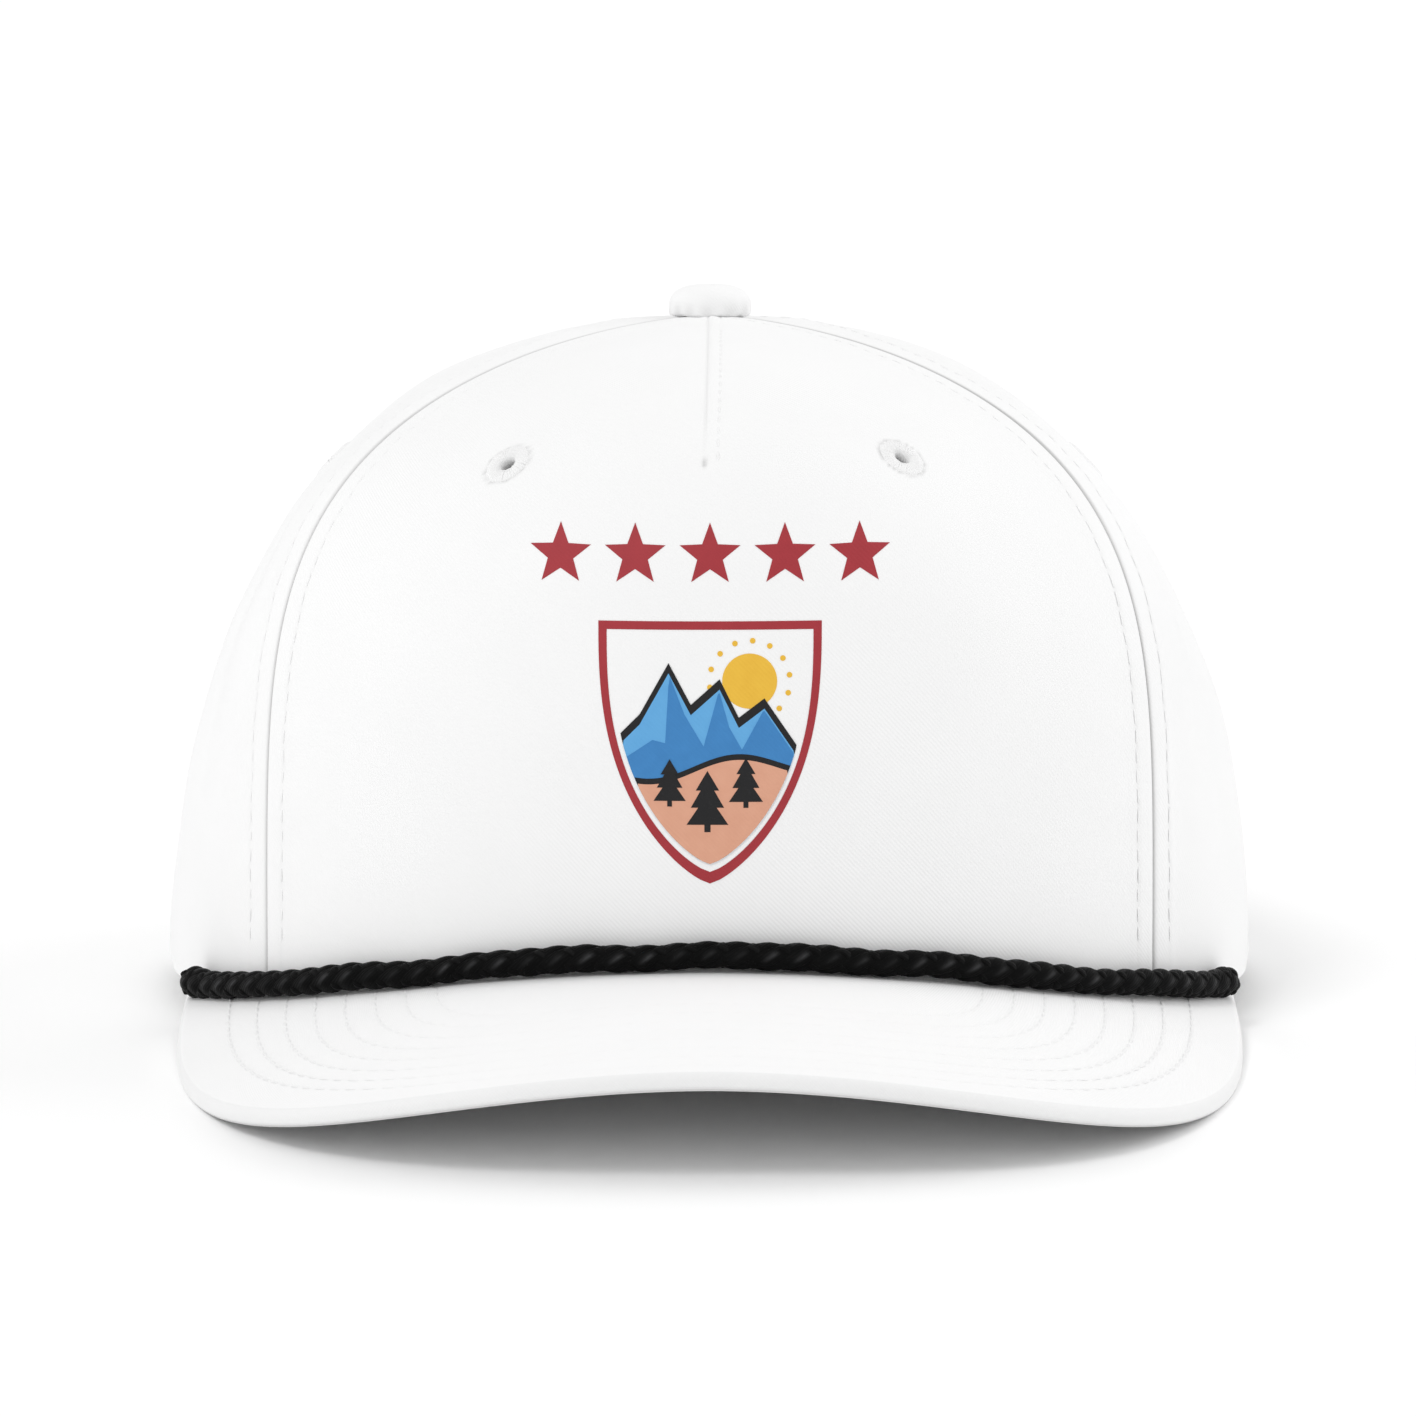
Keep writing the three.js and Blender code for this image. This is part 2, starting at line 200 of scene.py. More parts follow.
# The rise where the reach has shrunk to the hole under the button.
def riseAtHole(angle):
    reachPower, risePower = slicePowers(angle)
    return (1 - crown["buttonHole"] ** reachPower) ** (1 / risePower)


# The visor's edge in plan, from its left corner (side -1) to its right corner (side 1): a squared
# ellipse whose middle lies behind the crown's front.
def visorOutline(side):
    turn = (1 - np.abs(side)) * np.pi / 2
    power = 2 / visor["squareness"]
    x = np.sign(side) * visor["halfWidth"] * np.cos(turn) ** power
    forward = (visor["length"] + visor["back"]) * np.sin(turn) ** power - visor["back"]
    return x, -(crown["halfLength"] + forward)


# How the cap stands: on the lowest sides of its visor and the hem beside the rear opening.
def restStance():
    x, y = visorOutline(np.linspace(0, 1, 201))
    under = visorMiddle(x, y) - visor["thickness"] / 2
    reach = math.asin(opening["halfWidth"] / crown["halfWidth"])
    rear = crown["halfLength"] * math.cos(reach)
    pitch = float(np.max(np.arctan2(-under, rear - y)))
    front = (crown["halfLength"] + visor["length"]) * math.cos(pitch)
    return {
        "pitch": pitch,
        "forward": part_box("visor")[0].y / mm + front,
        "lift": rear * math.sin(pitch) - crown["pressed"],
    }


stance = restStance()


# From the level cap in millimetres to the standing cap in metres. Cloth that would go through the
# floor lies flat on it.
def stand(points):
    x, y, z = np.moveaxis(np.asarray(points, float), -1, 0)
    c, s = math.cos(stance["pitch"]), math.sin(stance["pitch"])
    tipped = np.stack([x, y * c + z * s + stance["forward"], z * c - y * s + stance["lift"]], -1)
    tipped[..., 2] = np.maximum(tipped[..., 2], 0)
    return tipped * mm


# A mesh from points in the level cap's millimetres and arrays of faces, with the name of its
# material. Marks are values at the points that a material reads, spread is the mesh's flat layout in
# millimetres, and edges that bend by more degrees than crisp stay sharp.
def addPiece(name, points, faces, material, stands=(), *, spread, crisp, marks=None):
    points = np.asarray(points, float).reshape(-1, 3)
    corners = np.concatenate([f.ravel() for f in faces])
    used, corners = np.unique(corners, return_inverse=True)
    corners = corners.ravel()
    sizes = np.concatenate([np.full(len(f), f.shape[1]) for f in faces])
    mesh = bpy.data.meshes.new(name)
    mesh.vertices.add(len(used))
    mesh.vertices.foreach_set("co", stand(points[used]).astype(np.float32).ravel())
    mesh.loops.add(len(corners))
    mesh.loops.foreach_set("vertex_index", corners.astype(np.int32))
    mesh.polygons.add(len(sizes))
    mesh.polygons.foreach_set("loop_start", (np.cumsum(sizes) - sizes).astype(np.int32))
    flat = np.asarray(spread, float).reshape(-1, 2)[used][corners]
    mesh.uv_layers.new(name="layout").data.foreach_set("uv", flat.astype(np.float32).ravel())
    for mark, values in (marks or {}).items():
        layer = mesh.attributes.new(mark, "FLOAT", "POINT")
        layer.data.foreach_set("value", np.asarray(values, np.float32).ravel()[used])
    mesh.update(calc_edges=True)
    mesh.validate()
    mesh.shade_smooth()
    mesh.set_sharp_from_angle(angle=math.radians(crisp))
    piece = bpy.data.objects.new(name, mesh)
    bpy.context.scene.collection.objects.link(piece)
    mesh.materials.append(finish[material])
    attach(piece, "root")
    for node in stands:
        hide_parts(node)
    print(f"{name}: {len(used)} points")
    return piece


# Faces over a grid of points, which may close on itself either way.
def gridFaces(rows, columns, closeRows=False, closeColumns=False):
    index = np.arange(rows * columns).reshape(rows, columns)
    if closeRows:
        index = np.concatenate([index, index[:1]], 0)
    if closeColumns:
        index = np.concatenate([index, index[:, :1]], 1)
    a, b, c, d = index[:-1, :-1], index[:-1, 1:], index[1:, 1:], index[1:, :-1]
    return np.stack([a, b, c, d], -1).reshape(-1, 4)


# Faces of a cloth with an outside grid, an inside grid and a wall round every edge of its kept
# cells. Seen from outside, columns run to the right and rows run up.
def clothFaces(kept):
    rows, columns = kept.shape
    index = np.arange((rows + 1) * (columns + 1)).reshape(rows + 1, columns + 1)
    i, j = np.nonzero(kept)
    a, b, c, d = index[i, j], index[i, j + 1], index[i + 1, j + 1], index[i + 1, j]
    inside = index.size
    faces = [np.stack([a, b, c, d], 1), np.stack([a, d, c, b], 1) + inside]
    around = np.pad(kept, 1)
    sides = (((-1, 0), (a, b)), ((0, 1), (b, c)), ((1, 0), (c, d)), ((0, -1), (d, a)))
    for (up, right), (p, q) in sides:
        bare = ~around[i + 1 + up, j + 1 + right]
        faces.append(np.stack([q, p, p + inside, q + inside], 1)[bare])
    return faces


# A closed tube from rings of points, with a point in the middle of each end. Returns the points and
# the faces, which look outwards when each ring runs anticlockwise seen from the tube's far end.
def closedTube(rings):
    count, around = rings.shape[:2]
    points = np.concatenate([rings.reshape(-1, 3), rings[:1].mean(1), rings[-1:].mean(1)])
    ring = np.arange(around)
    following = (ring + 1) % around
    first, last = count * around, count * around + 1
    far = (count - 1) * around
    near = np.stack([following, ring, np.full(around, first)], 1)
    tip = np.stack([far + ring, far + following, np.full(around, last)], 1)
    return points, [gridFaces(count, around, closeColumns=True), near, tip]


# Several meshes of the same kind as one: their points in one list and their faces moved along.
def joined(meshes):
    points, faces, start = [], [], 0
    for some, parts in meshes:
        points.append(some.reshape(-1, 3))
        faces.extend(part + start for part in parts)
        start += len(points[-1])
    return np.concatenate(points), faces


# Values at the rings of closed tubes, with zeros for the middles of both ends.
def withEnds(values):
    return np.concatenate([values, np.zeros((2, *values.shape[1:]))])


# The linear colour that a shader takes, from an sRGB hex code.
def linear(code):
    share = np.array([int(code[k : k + 2], 16) for k in (1, 3, 5)]) / 255
    share = np.where(share <= 0.04045, share / 12.92, ((share + 0.055) / 1.055) ** 2.4)
    return (*share.tolist(), 1)


# A node with its settings. An input given as a socket is linked, and any other is a value.
def addNode(tree, kind, inputs=None, **settings):
    node = tree.nodes.new(kind)
    for key, value in settings.items():
        setattr(node, key, value)
    for key, value in (inputs or {}).items():
        if isinstance(value, bpy.types.NodeSocket):
            tree.links.new(value, node.inputs[key])
        else:
            node.inputs[key].default_value = value
    return node


# Height of a woven or twisted surface: ridges along some directions of the piece's layout, each row
# giving the ridges' direction, their spacing in millimetres and their share, and a share of fluff.
def ridges(tree, rows, fluff, fluffSize):
    layout = addNode(tree, "ShaderNodeUVMap", uv_map="layout").outputs["UV"]
    noise = {"Vector": layout, "Scale": 1 / fluffSize, "Detail": 3}
    grain = addNode(tree, "ShaderNodeTexNoise", noise).outputs[0]
    total = addNode(tree, "ShaderNodeMath", {0: grain, 1: fluff}, operation="MULTIPLY").outputs[0]
    for across, along, spacing, share in rows:
        turns = 2 * math.pi / spacing
        pair = {0: layout, 1: (across * turns, along * turns, 0)}
        run = addNode(tree, "ShaderNodeVectorMath", pair, operation="DOT_PRODUCT").outputs["Value"]
        wave = addNode(tree, "ShaderNodeMath", {0: run}, operation="SINE").outputs[0]
        added = {0: wave, 1: share, 2: total}
        total = addNode(tree, "ShaderNodeMath", added, operation="MULTIPLY_ADD").outputs[0]
    return total


# Colour that drifts between two shades in soft patches of about that size in millimetres.
def patches(tree, light, dark, size):
    place = addNode(tree, "ShaderNodeTexCoord").outputs["Object"]
    noise = {"Vector": place, "Scale": 1 / (size * mm), "Detail": 2}
    cloud = addNode(tree, "ShaderNodeTexNoise", noise).outputs[0]
    shades = {0: cloud, 6: linear(light), 7: linear(dark)}
    return addNode(tree, "ShaderNodeMix", shades, data_type="RGBA").outputs[2]


# A material: the shader's own values, two shades in patches, a third colour where a mark of the mesh
# is strong, which is painted shade on the cloth and a painted highlight on the braid, and a relief of
# ridges and fluff with its depth in millimetres.
def makeMaterial(name, values):
    material = bpy.data.materials.new(name)
    material.use_nodes = True
    tree = material.node_tree
    surface = tree.nodes["Principled BSDF"]
    for key, value in values["surface"].items():
        surface.inputs[key].default_value = value
    colour = patches(tree, *values["shades"])
    # Painted shade or painted highlight, from the mark named for this material.
    if "paintedLight" in values:
        mark, shade = values["paintedLight"]
        share = addNode(tree, "ShaderNodeAttribute", attribute_name=mark).outputs["Fac"]
        shades = {0: share, 6: colour, 7: linear(shade)}
        colour = addNode(tree, "ShaderNodeMix", shades, data_type="RGBA").outputs[2]
    tree.links.new(colour, surface.inputs["Base Color"])
    if "depth" in values:
        height = ridges(tree, values["ridges"], *values["fluff"])
        relief = {"Height": height, "Strength": 1, "Distance": values["depth"] * mm}
        bump = addNode(tree, "ShaderNodeBump", relief)
        tree.links.new(bump.outputs["Normal"], surface.inputs["Normal"])
    return material


# Each material's shades end with the size of their patches, its fluff is a share and a size, and its
# painted light is a mesh's mark with the colour painted where that mark is strong.
materials = {
    # Bleached cotton twill, woven: fine slanting ribs, matt, with short fibres that catch the light
    # at the edges. The ribs of such cloth are 0.5 mm apart and are drawn at 0.8 mm so that they
    # show. Grey is mixed in where the mesh's mark of painted shade is strong: in seams, needle holes,
    # the dart, round eyelets, along the binding, on the visor's edge and in the button's gathers.
    "bleachedCottonTwill": {
        "slot": "white_twill",
        "surface": {
            "Roughness": 0.88,
            "Sheen Weight": 0.3,
            "Sheen Roughness": 0.45,
            "Specular IOR Level": 0.25,
        },
        "shades": ("#f5f5f5", "#f2f2f2", 16),
        "paintedLight": ("paintedShade", "#8f8f8e"),
        "ridges": [(1, 1, 0.8, 0.5), (1, -1, 0.55, 0.2)],
        "fluff": (0.8, 0.9),
        "depth": 0.016,
    },
    # Core-spun polyester sewing thread: smooth and slightly glossy, with a slanting twist that is
    # drawn at 0.45 mm, which is a little coarser than in real thread.
    "polyesterSewingThread": {
        "slot": "white_thread",
        "surface": {
            "Roughness": 0.55,
            "Sheen Weight": 0.2,
            "Sheen Roughness": 0.4,
            "Specular IOR Level": 0.4,
        },
        "shades": ("#f5f5f5", "#f1f1f1", 5),
        "ridges": [(1, 1, 0.45, 0.5)],
        "fluff": (0.2, 0.5),
        "depth": 0.03,
    },
    # Black polyester yarn, plaited round: soft satin strands of fine yarns that run along each
    # strand, with a painted highlight: paler grey on the crests of strands that lie on top, on the
    # rope's upper side, where light would catch them.
    "plaitedPolyesterYarn": {
        "slot": "black_braid",
        "surface": {"Roughness": 0.4, "Specular IOR Level": 0.02},
        "shades": ("#151515", "#0b0b0b", 3),
        "paintedLight": ("float", "#484849"),
        "ridges": [(1, 0.1, 0.42, 0.5)],
        "fluff": (0.5, 0.6),
        "depth": 0.04,
    },
    # Brushed cotton, woven and napped: softer and flatter than the twill, a touch warmer, with painted
    # shade along its rows of stitches.
    "brushedCotton": {
        "slot": "sweatband_cloth",
        "surface": {
            "Roughness": 0.95,
            "Sheen Weight": 0.35,
            "Sheen Roughness": 0.5,
            "Specular IOR Level": 0.2,
        },
        "shades": ("#f3f3f0", "#ececea", 9),
        "paintedLight": ("paintedShade", "#a3a3a0"),
        "ridges": [(1, 0, 0.7, 0.3), (0, 1, 0.7, 0.3)],
        "fluff": (1.2, 0.5),
        "depth": 0.02,
    },
    # Polyethylene, moulded: satin, slightly see-through at the edges, with the mould's fine grain.
    "mouldedPolyethylene": {
        "slot": "snap_plastic",
        "surface": {
            "Roughness": 0.38,
            "IOR": 1.5,
            "Subsurface Weight": 0.15,
            "Subsurface Scale": 0.001,
        },
        "shades": ("#f0f0ee", "#e9e9e6", 14),
        "ridges": [],
        "fluff": (1, 0.35),
        "depth": 0.012,
    },
    # Matt backdrop paper, pressed: almost even, with a very faint tooth.
    "backdropPaper": {
        "surface": {"Roughness": 1, "Specular IOR Level": 0},
        "shades": ("#fefefe", "#fcfcfc", 120),
    },
}

# Transfer inks: thin films pressed into the twill, so that its ribs still show through them.
inks = {
    "redTransferInk": ("#a73139", "#9c2c34"),
    "goldTransferInk": ("#eec043", "#e4b136"),
    "blueTransferInk": ("#66ade0", "#5ba2d8"),
    "deepBlueTransferInk": ("#3f86c4", "#377bb7"),
    "tanTransferInk": ("#dfa78c", "#d69b80"),
    "blackTransferInk": ("#161618", "#101012"),
}
for name, (light, dark) in inks.items():
    materials[name] = {
        "surface": {"Roughness": 0.6, "Specular IOR Level": 0.35},
        "shades": (light, dark, 2.5),
        "ridges": [(1, 1, 0.8, 0.5)],
        "fluff": (0.5, 0.9),
        "depth": 0.015,
    }

finish = {name: makeMaterial(name, values) for name, values in materials.items()}
twill, sewingThread, moulded = "bleachedCottonTwill", "polyesterSewingThread", "mouldedPolyethylene"
print("materials ready")


seam = {
    "row": 4.7,  # from a seam to each row of top stitching
    "rowShare": 0.36,  # of the panel's width at most, where panels narrow under the button
    "valley": 0.6,
    "valleyWidth": 0.22,
    "allowance": 0.2,  # how much the folded cloth under the stitching stands up
    "allowanceStart": 1.4,  # where it stands fully, from the seam
    "allowanceEnd": (0.6, 2.6),  # where it runs out, beyond the row
    "groove": 0.1,
    "grooveWidth": 0.75,
    "pitch": 3.2,
    "fade": (55, 105),  # lengths up the seam between which the sewing gets flatter
    # painted shade in the valley, then along the rows and more at their needle holes
    "shade": 0.9,
    "holeShade": 0.1,
    # It also makes the left front seam's painted shade lighter.
    "loose": 0.6,  # how strongly the left front seam is drawn in, where the others have 1
    "pucker": 0.07,
    "puckerLength": 10.5,
    "puckerReach": 6,
}

# How the side panels sink in beside the front seams, between two ranges of heights.
hollow = {"depth": 0.45, "away": 9, "width": 4, "lower": (14, 40), "upper": (62, 92)}

dart = {
    "bottom": 86,  # height over the rim plane
    "lead": 9,  # how far up it is at its full depth
    "valley": 0.16,
    "width": 0.3,
    "fold": 0.12,  # how much its folded cloth stands up
    "row": 2.1,
    "groove": 0.12,
    "pit": 0.5,
    "aside": (-0.85, -0.3),  # where it lies at its lower end and at the button
}

hem = {
    "row": 4,
    "groove": 0.18,
    "roll": 0.6,
    "rollWidth": 0.7,
    "free": (78, 86),  # degrees round, where it comes out from under the visor
}

bindingEdge = {
    "row": 5.2,
    "groove": 0.2,
    "band": 6.8,
    "bandEdge": 1.4,
    "rise": 0.3,
    "roll": 0.8,
}

eyelet = {
    "radius": 3.62,
    "tall": 1.15,  # how much longer it is up the cloth
    "bore": 1.1,
    "barrel": 1.85,
    "hole": 1.95,  # in the cloth
    "threads": 42,
    "dent": 0.2,  # how far the cloth is drawn in round it
    "dentWidth": 9,
    "sunk": 0.06,  # and just at its edge
    # painted shade round its edge
    "shade": 0.09,
    "soft": (0.25, 0.7),  # width of the shade, in front and on the other panels' wider faces
    # panel, degrees round from the front, height over the rim plane
    "places": {
        "left_front_eyelet": ("front_panel", -25.8, 87.0),
        "right_front_eyelet": ("front_panel", 24.6, 87.9),
        "left_side_eyelet": ("left_side_panel", -78, 84.3),
        "right_side_eyelet": ("right_side_panel", 78, 84.3),
        "left_back_eyelet": ("left_back_panel", -148, 82),
        "right_back_eyelet": ("right_back_panel", 148, 82),
    },
}

# How the columns of a panel's grid crowd round a place: the width in degrees and the pull.
crowding = {
    "seam": (5, 3),
    "dart": (2, 3.5),
    "eyelet": (4.5, 1.4),
    "rearSeam": (4, 3),
    "backEyelet": (4, 1.4),
    "archSide": (6, 3.5),
}

slackWaves = {"count": 6, "lengths": (22, 60), "sum": 2.5}

# Each panel's seams on its left and right as seen from outside, its grid and how softly it hangs.
panels = {
    "front_panel": {"seams": (-52.2, 52.2), "columns": 160, "rows": 190, "slack": 0.1},
    "left_side_panel": {"seams": (-116, -52.2), "columns": 84, "rows": 200, "slack": 0.25},
    "right_side_panel": {"seams": (52.2, 116), "columns": 84, "rows": 200, "slack": 0.25},
    "left_back_panel": {"seams": (-180, -116), "columns": 120, "rows": 150, "slack": 0.3},
    "right_back_panel": {"seams": (116, 180), "columns": 120, "rows": 150, "slack": 0.3},
}


# Millimetres round the crown for each degree, at a seam.
def stretch(seamAngle, rise):
    ahead = crownPoint(seamAngle + 0.5, rise)
    return np.linalg.norm(ahead - crownPoint(seamAngle - 0.5, rise), axis=-1)


# Rises up a slice at even steps of its curve, from the hem to the hole under the button.
def evenRises(angle, low, shares):
    power = slicePowers(angle)[1] / 2
    turn = mixed(np.arcsin(low**power), np.arcsin(riseAtHole(angle) ** power), shares)
    return np.sin(turn) ** (1 / power)


# Length up a seam at any rise.
def seamLength(seamAngle, rise):
    rises = evenRises(seamAngle, 0.0, np.linspace(0, 1, 500))
    return np.interp(rise, rises, lengthAlong(crownPoint(seamAngle, rises)))


# Distance of the stitching from its seam, less where the panel narrows.
def rowOffset(panel, seamAngle, rise):
    low, high = panel["seams"]
    return np.minimum(seam["row"], seam["rowShare"] * (high - low) * stretch(seamAngle, rise))


# Distance outside the rear opening.
def openingDistance(point):
    wide, high = opening["halfWidth"], opening["height"]
    across, up = np.abs(point[..., 0]) / wide, np.maximum(point[..., 2], 0) / high
    return outsideEllipse(across, up, wide, high, opening["squareness"])


# A seam's form: a valley where two panels meet, the folded cloth standing up beside it, and a row of
# stitching with a dimple at each needle hole. The second value is painted shade: darker colour in
# the valley and along the row, more at the needle holes, for the shade that falls there.
def seamForm(distance, along, row, drawn):
    needle = (1 + np.cos(2 * np.pi * along / seam["pitch"])) / 2
    beside = distance - row
    upper = eased(along, *seam["fade"])
    form = seam["allowance"] * eased(distance, 0, seam["allowanceStart"])
    form = form * (1 - eased(beside, *seam["allowanceEnd"]))
    form = form - drawn * seam["valley"] * bell(distance, seam["valleyWidth"])
    groove = drawn * seam["groove"] * (0.6 + 0.4 * needle) * (1 - 0.7 * upper)
    form = form - groove * bell(beside, seam["grooveWidth"])
    wave = np.sin(2 * np.pi * along / seam["puckerLength"] + 1.3 * np.sin(along / 17))
    form = form + seam["pucker"] * wave * bell(beside, seam["puckerReach"]) * eased(distance, 0.5, 3)
    # Painted shade: wider in the valley higher up, and along the row at its needle holes.
    shade = seam["shade"] * bell(distance, 0.21 + 0.22 * upper)
    shade = shade + (0.03 + seam["holeShade"] * needle**2) * (1 - upper) * bell(beside, 0.55)
    return form, drawn * shade


# Steps along the cloth from an eyelet's middle, and how far they go, counted as across.
def fromEyelet(points, turn, up):
    centre, axis = crownPoint(turn, riseAt(turn, up)), crownNormal(turn, riseAt(turn, up))
    away = points - centre
    away = away - (away @ axis)[..., None] * axis
    upward = away @ np.cross(axis, unit(np.cross([0, 0, 1], axis)))
    reach = np.sum(away**2, -1) - upward**2 * (1 - 1 / eyelet["tall"] ** 2)
    return away, np.sqrt(np.maximum(reach, 0))


# Slow waves of the cloth, from a few fixed random directions.
def slackForm(point, size, seed):
    chance = np.random.default_rng(seed)
    total = 0
    for _ in range(slackWaves["count"]):
        direction = unit(chance.normal(size=3)) * 2 * np.pi / chance.uniform(*slackWaves["lengths"])
        total = total + np.sin(point @ direction + chance.uniform(0, 2 * np.pi))
    return size * total / slackWaves["sum"]


# The dart's line leans a little: its place in degrees, from its lower end to the button.
def dartAngle(rise):
    height = mixed(rimPoint(0)[2], crown["height"], rise)
    return mixed(*dart["aside"], eased(height, dart["bottom"], crown["height"])) / stretch(0, rise)


# How far the cloth stands out of the crown's smooth surface, and the painted shade in its seams, dart,
# binding and round its eyelets.
def clothForm(node, angle, rise):
    panel = panels[node]
    point = crownPoint(angle, rise)
    height = point[..., 2]
    form, shade, slack = 0, 0, 1
    for seamAngle in panel["seams"]:
        distance = np.abs(angle - seamAngle) * stretch(seamAngle, rise)
        drawn = seam["loose"] if seamAngle == -crown["frontSeam"] else 1
        row = rowOffset(panel, seamAngle, rise)
        added, darker = seamForm(distance, seamLength(seamAngle, rise), row, drawn)
        form, shade = form + added, np.maximum(shade, darker)
        slack = slack * eased(distance, 3, 18)
        if "side" in node and abs(seamAngle) < 90:
            between = eased(height, *hollow["lower"]) * (1 - eased(height, *hollow["upper"]))
            form = form - hollow["depth"] * bell(distance - hollow["away"], hollow["width"]) * between
    form = form + slackForm(point, panel["slack"], len(node)) * slack
    if node == "front_panel":
        across = (np.asarray(angle) - dartAngle(rise)) * stretch(0, rise)
        there = eased(height, dart["bottom"] + 0.8, dart["bottom"] + dart["lead"])
        form = form - dart["valley"] * there * bell(across, dart["width"])
        form = form + dart["fold"] * there * eased(across, 0, 0.8) * (1 - eased(across, 2.4, 3.6))
        form = form - dart["groove"] * there * bell(across - dart["row"], 0.5)
        pit = bell(across, 0.38) * bell(height - dart["bottom"] - 1.6, 0.65)
        form = form - dart["pit"] * pit
        # Painted shade along the dart's line and in the pit at its lower end.
        shade = np.maximum(shade, np.maximum(0.12 * there * bell(across, 0.22), 0.35 * pit))
    else:
        x, y, _ = rimPoint(angle)
        free = eased(np.abs(angle), *hem["free"])
        edge = height - hemHeight(angle, x, y)
        form = form - hem["roll"] * free * bell(edge, hem["rollWidth"])
        form = form - hem["groove"] * free * bell(edge - hem["row"], 0.6)
    if "back" in node:
        edge, bound, last = openingDistance(point), bindingEdge["band"], bindingEdge["bandEdge"]
        form = form + bindingEdge["rise"] * (1 - eased(edge, bound, bound + last))
        form = form - bindingEdge["roll"] * bell(edge, 0.8)
        form = form - bindingEdge["groove"] * bell(edge - bindingEdge["row"], 0.6)
        # Painted shade: a dark line along the edge of the raised binding band.
        shade = np.maximum(shade, 0.25 * bell(edge - bound - last / 2, 0.5))
    for place, turn, up in eyelet["places"].values():
        if place == node:
            away = fromEyelet(point, turn, up)[1]
            form = form - eyelet["sunk"] * bell(away - eyelet["radius"], 0.6)
            form = form - eyelet["dent"] * bell(away, eyelet["dentWidth"])
            # Painted shade: a thin dark ring round the eyelet's edge, where the cloth meets it.
            soft = eyelet["soft"][place != "front_panel"]
            ring = eyelet["shade"] / soft * bell(away - eyelet["radius"] - 0.05, soft)
            shade = np.maximum(shade, ring)
    return form, shade


# The cloth's outside with all its forms.
def clothPoint(node, angle, rise):
    form, _ = clothForm(node, angle, rise)
    return crownPoint(angle, rise) + crownNormal(angle, rise) * np.asarray(form)[..., None]


# Angles from low to high that lie closer together round some places, each with its width in degrees
# and its pull.
def gatheredAngles(low, high, count, places):
    angle = np.linspace(low, high, 4001)
    crowd = 1 + sum(pull * bell(angle - place, width) for place, width, pull in places)
    crowd = np.cumsum(crowd) - crowd[0]
    return np.interp(np.linspace(0, crowd[-1], count + 1), crowd, angle)


# Angles of a back panel's columns: even steps round the opening's arch, then even steps of the rest.
def backColumns(count):
    turn = gatheredAngles(0, 90, count * 3 // 5, [(90, *crowding["archSide"])])
    arch = opening["halfWidth"] * np.cos(np.radians(turn))
    over = 180 - np.degrees(np.arcsin(arch / crown["halfWidth"]))
    hole = eyelet["places"]["right_back_eyelet"][1]
    places = [(crown["rearSeam"], *crowding["rearSeam"]), (hole, *crowding["backEyelet"])]
    rest = gatheredAngles(crown["rearSeam"], over[0], count - count * 3 // 5, places)
    return np.concatenate([rest[:-1], over])


# Where each column of a panel starts: at the hem, or on the opening's edge, found by halving.
def startRises(node, angle):
    x, y, _ = rimPoint(angle)
    low = riseAt(angle, hemHeight(angle, x, y))
    if "back" not in node:
        return low, np.zeros(len(angle), bool)
    under, over = low.copy(), np.full(len(angle), 0.9)
    arched = openingDistance(crownPoint(angle, low)) < 0
    for _ in range(40):
        middle = (under + over) / 2
        inside = openingDistance(crownPoint(angle, middle)) < 0
        under, over = np.where(inside, middle, under), np.where(inside, over, middle)
    return np.where(arched, under, low), arched


# Flat layout of a grid in millimetres: across from the middle column and up from the hem.
def flatLayout(grid):
    across = np.linalg.norm(np.diff(grid, axis=1), axis=-1)
    across = np.pad(np.cumsum(across, 1), ((0, 0), (1, 0)))
    up = np.pad(np.cumsum(np.linalg.norm(np.diff(grid, axis=0), axis=-1), 0), ((1, 0), (0, 0)))
    middle = grid.shape[1] // 2
    return np.stack([across - across[:, middle : middle + 1], up + grid[0, :, 2]], -1)


